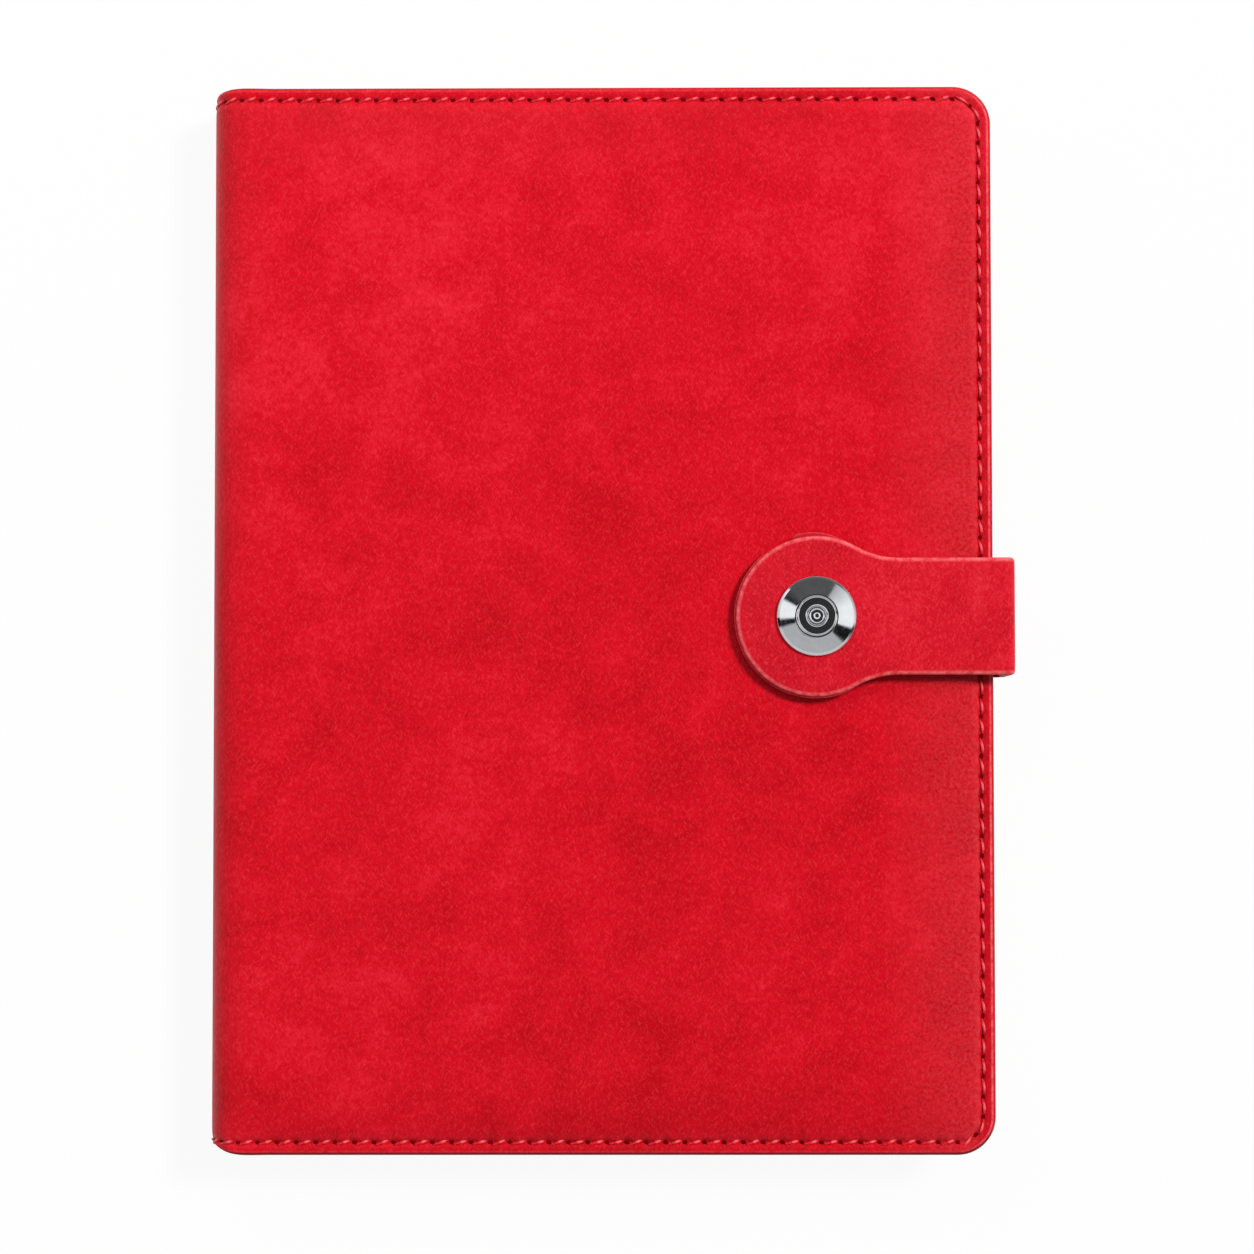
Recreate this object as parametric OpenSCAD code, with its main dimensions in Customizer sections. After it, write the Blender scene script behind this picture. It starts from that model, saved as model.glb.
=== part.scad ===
// Snap closure notebook: a padded leather cover with a rounded spine, a sewn page insert held in two
// inner sleeves, and a strap with a press snap.
// Millimetres. It lies on its back cover: +Z up, +X to the fore-edge, +Y along the spine.
// The origin is at the middle of the base.

/* [Cover] */
// Room above and below the pages, out to the cover's edge
page_ends = 7; // [5:0.5:12]
// Room from the pages to the cover's fore-edge
page_side = 4.5; // [4.2:0.1:9]
// Radius of the two corners at the fore-edge
corner_r = 8; // [6:0.5:14]
// Width of the stitched lip round a panel
lip_w = 3; // [2:0.1:4]
// Width of the slope from the lip up to the padded panel
slope_w = 1.6; // [1.2:0.1:3]
// Width over which the padding rises softly to its full height
crown_w = 14; // [6:0.5:30]
// Thickness of the outer leather
skin_t = 0.8; // [0.6:0.1:1]
// Thickness of the foam padding under the leather
padding_t = 0.6; // [0.4:0.1:1.2]
// Thickness of the stiff board
board_t = 1.4; // [1.2:0.1:2.4]
// Thickness of the lining leather
lining_t = 0.6; // [0.4:0.1:0.8]

/* [Insert] */
// Width of a page
page_w = 148; // [120:1:180]
// Height of a page
page_h = 210; // [150:1:260]
// Radius of the page corners at the fore-edge
page_r = 5; // [2:0.5:9]
// Thickness of one sewn section of paper
section_t = 1.5; // [1.2:0.1:2]
// Width of each inner sleeve
sleeve_w = 62; // [40:1:90]
// Thickness of the sleeve leather
sleeve_t = 0.5; // [0.4:0.1:0.8]
// Thickness of each insert card
card_t = 0.3; // [0.2:0.05:0.5]
// Thickness of the cloth on the block's spine
cloth_t = 0.4; // [0.3:0.05:0.6]

/* [Strap] */
// Width of the strap's straight part
strap_w = 24.4; // [18:0.2:28]
// Diameter of the strap's round head
head_d = 33.5; // [30:0.5:44]
// Distance from the fore-edge to the middle of the head
head_in = 37.2; // [34:0.2:55]
// Radius of the hollow curve between head and strap
neck_r = 18; // [4:0.5:24]
// How far the strap stands out past the fore-edge
strap_out = 4.2; // [3.6:0.1:6]
// Thickness of one strap layer
layer_t = 0.8; // [0.6:0.1:0.9]
// Height of the strap's middle line above the cover's middle line
strap_y = 0; // [-20:0.5:20]

/* [Snap] */
// Diameter of the cap
cap_d = 17; // [15:0.5:19]
// Diameter of the raised hub on the cap
hub_d = 8; // [7:0.1:9]
// Diameter of the socket under the strap
socket_d = 12; // [10:0.2:14]

/* [Hidden] */
$fn = 64;
// Number of sewn sections, half of them turning with the front cover
section_count = 8;
panel_t = skin_t + padding_t + board_t + lining_t;
// The lip is the leather and its turned hem, on the lining
lip_top = lining_t + 2 * skin_t;
lip_drop = panel_t - lip_top;
board_top = lining_t + board_t;
// The padding thins to this at its edges, and the leather over it falls as much
edge_padding_t = 0.1;
crown_t = padding_t - edge_padding_t;
crown_z = panel_t - crown_t;
// Small clearances: at folds, round a card in its sleeve, between pages and sleeve, between page halves
seam_gap = 0.05;
card_room = card_t + 0.1;
page_gap = 0.15;
half_gap = 0.1;
half_block = section_count / 2 * section_t;
pages_z0 = panel_t + card_room + sleeve_t + page_gap;
mid_z0 = pages_z0 + half_block;
mid_z1 = mid_z0 + half_gap;
total_t = mid_z1 + half_block + pages_z0;
// The spine is half a round of the cover's whole thickness
spine_r = total_t / 2;
block_gap = 1.2;
cover_h = page_h + 2 * page_ends;
cover_w = spine_r + block_gap + page_w + page_side;
x_left = -(cover_w + strap_out) / 2;
x_fore = x_left + cover_w;
fold_x = x_left + spine_r;
block_x = fold_x + block_gap;
// Inner faces of the padded slope, one leather thickness in
slope_h = lip_drop - crown_t;
slope_l = sqrt(slope_w * slope_w + slope_h * slope_h);
slope_in = lip_w + skin_t * slope_h / slope_l;
slope_z = lip_top - skin_t * slope_w / slope_l;
room_in = slope_in + (board_top - slope_z) * slope_w / slope_h;
room_top_in = room_in + edge_padding_t * slope_w / slope_h;
lining_in = 0.8;
sleeve_in = 1.2;
hem_w = lip_w - 0.6;
board_gap = 1;
// Strap
strap_x = x_fore + strap_out;
tab_gap = 2.4;
tab_z0 = total_t + tab_gap;
tab_top = tab_z0 + 2 * layer_t;
anchor_z0 = panel_t - lining_t - layer_t;
anchor_l = 11;
anchor_x = x_fore - room_in - anchor_l;
low_r = 3.5;
high_r = 2.2;
// Angle of the planes that split the bends, and the gap left there
bend_a = 45;
bend_gap = 0.5;
low_c = [strap_x - low_r, anchor_z0 + low_r];
high_c = [strap_x - high_r, tab_top - high_r];
head_r = head_d / 2;
snap_x = x_fore - head_in;
neck_x = sqrt(pow(head_r + neck_r, 2) - pow(strap_w / 2 + neck_r, 2));
// Snap
shank_r = 1.2;
post_r = 1.2;
bore = 0.05;
wire_d = 0.4;
spring_r = 2.85;
stud_head_r = 4;
stud_head_t = 0.5;

leather = [0.80, 0.07, 0.13];
lining_tone = [0.45, 0.05, 0.08];
foam_tone = [0.75, 0.72, 0.66];
board_tone = [0.55, 0.48, 0.38];
card_tone = [0.78, 0.70, 0.55];
paper_tone = [0.95, 0.93, 0.86];
cloth_tone = [0.90, 0.90, 0.88];
steel_tone = [0.80, 0.81, 0.83];

// Places a shape drawn in x and z along y, centred on y0
module along_y(len, y0 = 0) {
    translate([0, y0, 0])
        rotate([90, 0, 0])
            linear_extrude(len, center = true) children();
}

// Lays a panel's own frame, inner face at 0 and outer face up, on the front or on the back
module on_front() {
    translate([0, 0, total_t - panel_t]) children();
}

module on_back() {
    translate([0, 0, panel_t]) mirror([0, 0, 1]) children();
}

// Outline of a cover panel, drawn in by inset on three sides, from x0 to the fore-edge
module panel_outline(inset, x0) {
    r = corner_r - inset;
    x1 = x_fore - inset;
    h = cover_h - 2 * inset;
    translate([x0, -h / 2]) square([x1 - r - x0, h]);
    translate([x0, r - h / 2]) square([x1 - x0, h - 2 * r]);
    for (side = [-1, 1])
        translate([x1 - r, side * (h / 2 - r)]) circle(r);
}

// Solid that narrows evenly from one inset to another, with cones at its two corners
module panel_slope(z0, z1, in0, in1, x0) {
    corner_x = x_fore - corner_r;
    corner_y = cover_h / 2 - corner_r;
    along_y(2 * corner_y)
        polygon([[x0, z0], [x_fore - in0, z0], [x_fore - in1, z1], [x0, z1]]);
    translate([x0, 0, 0]) rotate([90, 0, 90]) linear_extrude(corner_x - x0)
        polygon([
            [in0 - cover_h / 2, z0],
            [cover_h / 2 - in0, z0],
            [cover_h / 2 - in1, z1],
            [in1 - cover_h / 2, z1]
        ]);
    for (side = [-1, 1])
        translate([corner_x, side * corner_y, z0])
            cylinder(h = z1 - z0, r1 = corner_r - in0, r2 = corner_r - in1);
}

// Soft crown on top of a slope, rising over crown_w from three sides; it reaches a little into the slope
module panel_crown(z0, inset, x0) {
    sink = 0.05;
    y0 = cover_h / 2 - inset;
    y1 = y0 - crown_w;
    x1 = x_fore - inset;
    x2 = x1 - crown_w;
    low = z0 - sink;
    top = z0 + crown_t;
    intersection() {
        along_y(cover_h)
            polygon([[x0, low], [x1, low], [x1, z0], [x2, top], [x0, top]]);
        translate([x0, 0, 0]) rotate([90, 0, 90]) linear_extrude(x1 - x0 + 1)
            polygon([[-y0, low], [y0, low], [y0, z0], [y1, top], [-y1, top], [-y0, z0]]);
        translate([0, 0, z0 - 1]) linear_extrude(crown_t + 2) panel_outline(inset, x0);
    }
}

module panel_skin() {
    difference() {
        union() {
            translate([0, 0, lining_t]) linear_extrude(2 * skin_t) panel_outline(0, fold_x + seam_gap);
            panel_slope(lip_top - 0.02, crown_z, lip_w, lip_w + slope_w, fold_x + seam_gap);
            panel_crown(crown_z, lip_w + slope_w, fold_x + seam_gap);
        }
        translate([0, 0, lining_t - 1]) linear_extrude(board_t + 1) panel_outline(room_in, fold_x - 1);
        panel_slope(board_top - 0.02, crown_z - skin_t, room_in, room_top_in, fold_x - 1);
        panel_crown(crown_z - skin_t, room_top_in, fold_x - 1);
    }
}

module panel_padding() {
    panel_slope(board_top, crown_z - skin_t, room_in + 0.05, room_top_in + 0.05, fold_x + board_gap);
    panel_crown(crown_z - skin_t, room_top_in + 0.05, fold_x + board_gap);
}

module panel_board() {
    translate([0, 0, lining_t]) linear_extrude(board_t) panel_outline(room_in, fold_x + board_gap);
}

module panel_lining() {
    linear_extrude(lining_t) panel_outline(lining_in, fold_x + seam_gap);
}

// Sleeve with a hem on three sides, so that a card slides in from the spine side
module panel_sleeve() {
    translate([0, 0, -card_room - sleeve_t])
        linear_extrude(sleeve_t) panel_outline(sleeve_in, x_fore - sleeve_w);
    translate([0, 0, -card_room])
        linear_extrude(card_room) difference() {
            panel_outline(sleeve_in, x_fore - sleeve_w);
            panel_outline(sleeve_in + hem_w, x_fore - sleeve_w - 1);
        }
}

// Hole through a panel for the stud's rivet
module stud_hole(r) {
    translate([snap_x, strap_y, -1]) cylinder(h = panel_t + 2, r = r);
}

// Room for the strap's end, between leather and lining
module anchor_slot() {
    translate([anchor_x - 0.2, strap_y - strap_w / 2 - 0.1, lining_t - 1])
        cube([x_fore - anchor_x + 2, strap_w + 0.2, layer_t + 1]);
}

module back_skin() {
    color(leather) on_back() difference() {
        panel_skin();
        anchor_slot();
    }
}

module back_padding() {
    color(foam_tone) on_back() panel_padding();
}

module back_board() {
    color(board_tone) on_back() difference() {
        panel_board();
        anchor_slot();
    }
}

module back_lining() {
    color(lining_tone) on_back() panel_lining();
}

module back_sleeve() {
    color(lining_tone) on_back() panel_sleeve();
}

module front_skin() {
    color(leather) on_front() difference() {
        panel_skin();
        stud_hole(post_r + bore);
    }
}

module front_padding() {
    color(foam_tone) on_front() difference() {
        panel_padding();
        stud_hole(post_r + bore);
    }
}

module front_board() {
    color(board_tone) on_front() difference() {
        panel_board();
        stud_hole(post_r + bore);
        translate([snap_x, strap_y, 0]) cylinder(h = lining_t + stud_head_t, r = stud_head_r + 2 * bore);
    }
}

module front_lining() {
    color(lining_tone) on_front() panel_lining();
}

module front_sleeve() {
    color(lining_tone) on_front() panel_sleeve();
}

// Part of a round tube's wall in x and z, between two angles
module ring_part(c, r0, r1, a0, a1) {
    far = 2 * r1;
    am = (a0 + a1) / 2;
    translate(c) intersection() {
        difference() {
            circle(r1);
            circle(r0);
        }
        polygon([
            [0, 0],
            [far * cos(a0), far * sin(a0)],
            [far * cos(am), far * sin(am)],
            [far * cos(a1), far * sin(a1)]
        ]);
    }
}

// Quarter of the rounded spine, lower or upper, with its ends just clear of the folds
module spine_quarter(r0, r1, upper, len) {
    along_y(len) intersection() {
        translate([fold_x, spine_r]) difference() {
            circle(r1);
            circle(r0);
        }
        translate([x_left - 1, upper ? spine_r + seam_gap : -1])
            square([spine_r + 1 - seam_gap, spine_r + 1 - seam_gap]);
    }
}

module spine_lower_skin() {
    color(leather) spine_quarter(spine_r - skin_t, spine_r, false, cover_h);
}

module spine_lower_lining() {
    color(lining_tone)
        spine_quarter(spine_r - skin_t - lining_t, spine_r - skin_t, false, cover_h - 2 * lining_in);
}

module spine_upper_skin() {
    color(leather) spine_quarter(spine_r - skin_t, spine_r, true, cover_h);
}

module spine_upper_lining() {
    color(lining_tone)
        spine_quarter(spine_r - skin_t - lining_t, spine_r - skin_t, true, cover_h - 2 * lining_in);
}

// Outline of a page, rounded at the fore-edge
module page_outline() {
    x1 = block_x + page_w;
    translate([block_x - 1, -page_h / 2]) square([page_w - page_r + 1, page_h]);
    translate([block_x - 1, page_r - page_h / 2]) square([page_w + 1, page_h - 2 * page_r]);
    for (side = [-1, 1])
        translate([x1 - page_r, side * (page_h / 2 - page_r)]) circle(page_r);
}

module insert_card() {
    translate([0, 0, -card_room + 0.05]) linear_extrude(card_t) intersection() {
        page_outline();
        translate([block_x, -page_h]) square([page_w, 2 * page_h]);
    }
}

module front_card() {
    color(card_tone) on_front() insert_card();
}

module back_card() {
    color(card_tone) on_back() insert_card();
}

// Sections are numbered from the front, and each has its rounded fold at the spine
function section_z(i) = i <= section_count / 2
    ? mid_z1 + (section_count / 2 - i) * section_t
    : pages_z0 + (section_count - i) * section_t;

module section(i) {
    color(paper_tone) intersection() {
        along_y(page_h) translate([block_x, section_z(i)]) {
            translate([section_t / 2, 0]) square([page_w, section_t]);
            translate([section_t / 2, section_t / 2]) circle(section_t / 2);
        }
        translate([0, 0, section_z(i) - 1]) linear_extrude(section_t + 2) page_outline();
    }
}

module spine_cloth(z0) {
    translate([block_x - cloth_t - 0.02, 8 - page_h / 2, z0 + 0.05])
        cube([cloth_t, page_h - 16, half_block - 0.1]);
}

module spine_cloth_back() {
    color(cloth_tone) spine_cloth(pages_z0);
}

module spine_cloth_front() {
    color(cloth_tone) spine_cloth(mid_z1);
}

// Strap: the end in the back seam with the first half of the lower bend
module strap_anchor() {
    color(leather) along_y(strap_w, strap_y) {
        translate([anchor_x, anchor_z0]) square([low_c[0] - anchor_x, layer_t]);
        ring_part(low_c, low_r - layer_t, low_r, -90, -bend_a - bend_gap);
    }
}

module strap_wrap_face() {
    color(leather) along_y(strap_w, strap_y) {
        ring_part(low_c, low_r - layer_t, low_r, bend_gap - bend_a, 0);
        translate([strap_x - layer_t, low_c[1]]) square([layer_t, high_c[1] - low_c[1]]);
        ring_part(high_c, high_r - layer_t, high_r, 0, bend_a - bend_gap);
    }
}

module strap_wrap_lining() {
    color(lining_tone) along_y(strap_w, strap_y) {
        translate([strap_x - 2 * layer_t, low_c[1]]) square([layer_t, high_c[1] - low_c[1]]);
        ring_part(high_c, high_r - 2 * layer_t, high_r - layer_t, 0, bend_a - bend_gap);
    }
}

// Outline of the strap on the front: round head, hollow neck curves, straight part
module tab_outline() {
    translate([snap_x, strap_y]) {
        circle(head_r);
        translate([0, -strap_w / 2]) square([high_c[0] - snap_x, strap_w]);
        for (side = [-1, 1])
            scale([1, side]) difference() {
                polygon([
                    [0, 0],
                    [neck_x, strap_w / 2 + neck_r] * head_r / (head_r + neck_r),
                    [neck_x, strap_w / 2 + neck_r],
                    [neck_x, 0]
                ]);
                translate([neck_x, strap_w / 2 + neck_r]) circle(neck_r);
            }
    }
}

module tab_layer(z0) {
    translate([0, 0, z0]) linear_extrude(layer_t) difference() {
        tab_outline();
        translate([snap_x, strap_y]) circle(shank_r + bore);
    }
}

module strap_tab_face() {
    color(leather) {
        tab_layer(tab_top - layer_t);
        along_y(strap_w, strap_y)
            ring_part(high_c, high_r - layer_t, high_r, bend_a + bend_gap, 90);
    }
}

module strap_tab_lining() {
    color(lining_tone) {
        tab_layer(tab_z0);
        along_y(strap_w, strap_y)
            ring_part(high_c, high_r - 2 * layer_t, high_r - layer_t, bend_a + bend_gap, 90);
    }
}

// Snap cap: bevelled rim, shallow dish, raised hub with a rounded edge and a recess for the rivet
module snap_cap() {
    r = cap_d / 2;
    h = hub_d / 2;
    color(steel_tone) translate([snap_x, strap_y, tab_top]) rotate_extrude() difference() {
        union() {
            polygon([
                [shank_r + bore, 0],
                [r - 0.15, 0],
                [r, 0.15],
                [r, 0.5],
                [r - 1.5, 1.2],
                [r - 1.8, 1.2],
                [h + 0.5, 0.75],
                [h, 0.85],
                [h, 1.6],
                [h - 0.6, 1.6],
                [h - 0.6, 2.2],
                [shank_r + bore, 2.2]
            ]);
            translate([h - 0.6, 1.6]) circle(0.6);
        }
        translate([0, 1.3]) square([2.55, 2]);
    }
}

// Rivet through cap, strap and socket, with a domed head and a spread end
module snap_cap_rivet() {
    low = -2 * layer_t - 0.35;
    color(steel_tone) translate([snap_x, strap_y, tab_top]) rotate_extrude() {
        translate([0, low - 0.25]) square([2, 0.25]);
        translate([0, low - 0.01]) square([shank_r, 1.32 - low]);
        polygon([[0, 1.3], [1.7, 1.3], [1.7, 1.55], [1.35, 1.85], [0.7, 2.0], [0, 2.0]]);
    }
}

// Socket: a shallow can under the strap, open below for the stud
module snap_socket() {
    r = socket_d / 2;
    color(steel_tone) translate([snap_x, strap_y, total_t]) rotate_extrude() {
        translate([shank_r + bore, tab_gap - 0.35]) square([r - shank_r - bore, 0.35]);
        polygon([[r - 0.4, 0.7], [r - 0.25, 0.45], [r, 0.7], [r, tab_gap], [r - 0.4, tab_gap]]);
        translate([spring_r + 0.05, 0.45]) square([r - 0.25 - spring_r - 0.05, 0.35]);
    }
}

// Open ring of spring wire, resting on the socket's lower rim
module snap_spring() {
    color(steel_tone) translate([snap_x, strap_y, total_t + 0.82 + wire_d / 2])
        rotate_extrude(angle = 320) translate([spring_r, 0]) circle(wire_d / 2, $fn = 24);
}

// Stud on the front cover, with a neck under its wider nose
module snap_stud() {
    color(steel_tone) translate([snap_x, strap_y, total_t]) rotate_extrude() difference() {
        polygon([
            [0, 0],
            [4.6, 0],
            [4.6, 0.15],
            [4.3, 0.3],
            [2.35, 0.3],
            [2.35, 1.2],
            [2.75, 1.32],
            [2.8, 1.45],
            [2.7, 1.6],
            [2.2, 1.72],
            [0, 1.72]
        ]);
        translate([0, -1]) square([post_r + bore, 2.1]);
    }
}

// Rivet that holds the stud, with its flat head let into the board
module snap_stud_rivet() {
    color(steel_tone) translate([snap_x, strap_y, total_t - panel_t + lining_t]) {
        cylinder(h = stud_head_t, r = stud_head_r);
        cylinder(h = panel_t - lining_t + 1.05, r = post_r);
    }
}

back_skin();
back_padding();
back_board();
back_lining();
back_sleeve();
strap_anchor();
spine_lower_skin();
spine_lower_lining();
spine_upper_skin();
spine_upper_lining();
front_skin();
front_padding();
front_board();
front_lining();
front_sleeve();
front_card();
snap_stud();
snap_stud_rivet();
back_card();
spine_cloth_back();
spine_cloth_front();
for (i = [1:section_count])
    section(i);
strap_wrap_face();
strap_wrap_lining();
strap_tab_face();
strap_tab_lining();
snap_cap();
snap_cap_rivet();
snap_socket();
snap_spring();
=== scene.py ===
"""Snap closure notebook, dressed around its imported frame.

The padded covers, linings, sleeves and strap are leather sheets that bend
over the folds, the thread is laid by Geometry Nodes, and the snap is turned
from its profiles. Sizes are in millimetres, and meshes are in metres.
"""

import logging
import math
from collections.abc import Sequence
from dataclasses import dataclass
from enum import Enum

import bmesh
import bpy
import numpy as np
from mathutils import Matrix, Vector, noise


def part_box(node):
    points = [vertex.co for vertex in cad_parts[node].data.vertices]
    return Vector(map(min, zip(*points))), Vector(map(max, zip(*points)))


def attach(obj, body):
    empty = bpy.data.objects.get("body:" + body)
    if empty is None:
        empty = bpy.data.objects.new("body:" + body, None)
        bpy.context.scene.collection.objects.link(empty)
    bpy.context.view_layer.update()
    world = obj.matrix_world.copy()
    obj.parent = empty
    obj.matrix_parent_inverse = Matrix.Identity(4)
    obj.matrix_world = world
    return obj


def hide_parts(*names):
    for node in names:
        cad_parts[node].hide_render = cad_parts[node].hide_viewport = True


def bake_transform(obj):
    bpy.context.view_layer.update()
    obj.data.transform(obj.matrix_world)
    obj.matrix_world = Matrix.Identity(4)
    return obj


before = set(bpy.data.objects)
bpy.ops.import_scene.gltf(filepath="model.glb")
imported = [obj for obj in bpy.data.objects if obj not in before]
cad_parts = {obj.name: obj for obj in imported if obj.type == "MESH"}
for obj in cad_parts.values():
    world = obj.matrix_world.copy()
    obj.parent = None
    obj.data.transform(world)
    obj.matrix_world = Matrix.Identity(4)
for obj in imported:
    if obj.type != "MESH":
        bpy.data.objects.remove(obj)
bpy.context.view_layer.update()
LOG = logging.getLogger("notebook")
MM = 0.001
Colour = tuple[float, float, float]
Point = tuple[float, float, float]
Pair = tuple[float, float]


def srgb(red: int, green: int, blue: int) -> Colour:
    """Turn an 8-bit screen colour into the linear colour that a shader takes.

    Args:
        red: Red from 0 to 255.
        green: Green from 0 to 255.
        blue: Blue from 0 to 255.

    Returns:
        The linear colour.
    """
    parts = [v / 255 for v in (red, green, blue)]
    return tuple(v / 12.92 if v <= 0.04045 else ((v + 0.055) / 1.055) ** 2.4 for v in parts)


def shaded(colour: Colour, share: float) -> Colour:
    """Darken or lighten a linear colour to a share of itself."""
    return tuple(min(v * share, 1.0) for v in colour)


def eased(value: float, begin: float, end: float) -> float:
    """Ease from 0 to 1 with flat ends.

    Args:
        value: Where on the way.
        begin: The value that gives 0.
        end: The value that gives 1, above or below the first.

    Returns:
        The share, from 0 to 1.
    """
    x = min(max((value - begin) / (end - begin), 0.0), 1.0)
    return x * x * (3 - 2 * x)


def box_mm(node: str) -> tuple[Vector, Vector]:
    """Give a CAD node's lowest and highest corners in millimetres."""
    low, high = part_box(node)
    return Vector(low) / MM, Vector(high) / MM


def put(name: str, data: bpy.types.ID) -> bpy.types.Object:
    """Add an object to the scene.

    Args:
        name: The object's name.
        data: Its mesh, lamp or camera.

    Returns:
        The new object, at the origin.
    """
    made = bpy.data.objects.new(name, data)
    bpy.context.scene.collection.objects.link(made)
    return made


def face_outward(mesh: bpy.types.Mesh) -> None:
    """Turn the faces of a mesh's closed shells outward.

    Args:
        mesh: The mesh.
    """
    work = bmesh.new()
    work.from_mesh(mesh)
    bmesh.ops.recalc_face_normals(work, faces=work.faces)
    work.to_mesh(mesh)
    work.free()


class Side(Enum):
    """The two covers; the value is the direction of the cover's outer face."""

    FRONT = 1
    BACK = -1


class Run(Enum):
    """A straight run of stitches along one edge of a cover."""

    HEAD = "head"
    FORE = "fore-edge"
    TAIL = "tail"

    @property
    def slant(self) -> float:
        """Slant of the run's thread in degrees."""
        return 9.0 if self is Run.FORE else 18.0

    @property
    def hole_slant(self) -> float:
        """Slant of the run's needle holes in degrees."""
        return -22.0 if self is Run.FORE else -36.0

    @property
    def share(self) -> float:
        """Share of the stitch's length that the thread lies on the leather."""
        return 0.80 if self is Run.FORE else 0.76

    @property
    def thread_r(self) -> float:
        """Radius of the thread where it is pulled tight, in millimetres."""
        return 0.28 if self is Run.FORE else 0.29

    @property
    def bow(self) -> float:
        """How far the thread swings out to the sheet's edge, in millimetres."""
        return 0.40 if self is Run.FORE else 0.0

    @property
    def highlight_at(self) -> float:
        """Where along each stitch the thread has its painted highlight, on the side that faces the
        light, from 0 to 1.
        """
        return {Run.HEAD: 0.70, Run.FORE: 0.50, Run.TAIL: 0.30}[self]

    @property
    def highlight_span(self) -> float:
        """Share of each stitch, to either side of its painted highlight, over which the highlight
        fades.
        """
        return 0.42 if self is Run.FORE else 0.30


class NodeBench:
    """A node tree, with short calls for its nodes.

    Attributes:
        PREFIX: What every node's type name starts with.
    """

    PREFIX = ""

    def __init__(self, tree: bpy.types.NodeTree) -> None:
        """Take the tree that the nodes go into."""
        self.tree = tree

    def node(self, kind: str, inputs: dict | None = None, **settings: object) -> bpy.types.Node:
        """Add a node.

        Args:
            kind: The node's type name, without the prefix.
            inputs: Values or output sockets for its inputs, by name or index.
            **settings: The node's own properties.

        Returns:
            The new node.
        """
        made = self.tree.nodes.new(self.PREFIX + kind)
        for key, value in settings.items():
            setattr(made, key, value)
        self.feed(made, inputs or {})
        return made

    def feed(self, node: bpy.types.Node, inputs: dict) -> None:
        """Set or link a node's inputs.

        Args:
            node: The node that takes them.
            inputs: Values or output sockets, by input name or index.
        """
        for key, value in inputs.items():
            if isinstance(value, bpy.types.NodeSocket):
                self.tree.links.new(value, node.inputs[key])
            else:
                node.inputs[key].default_value = value


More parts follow.
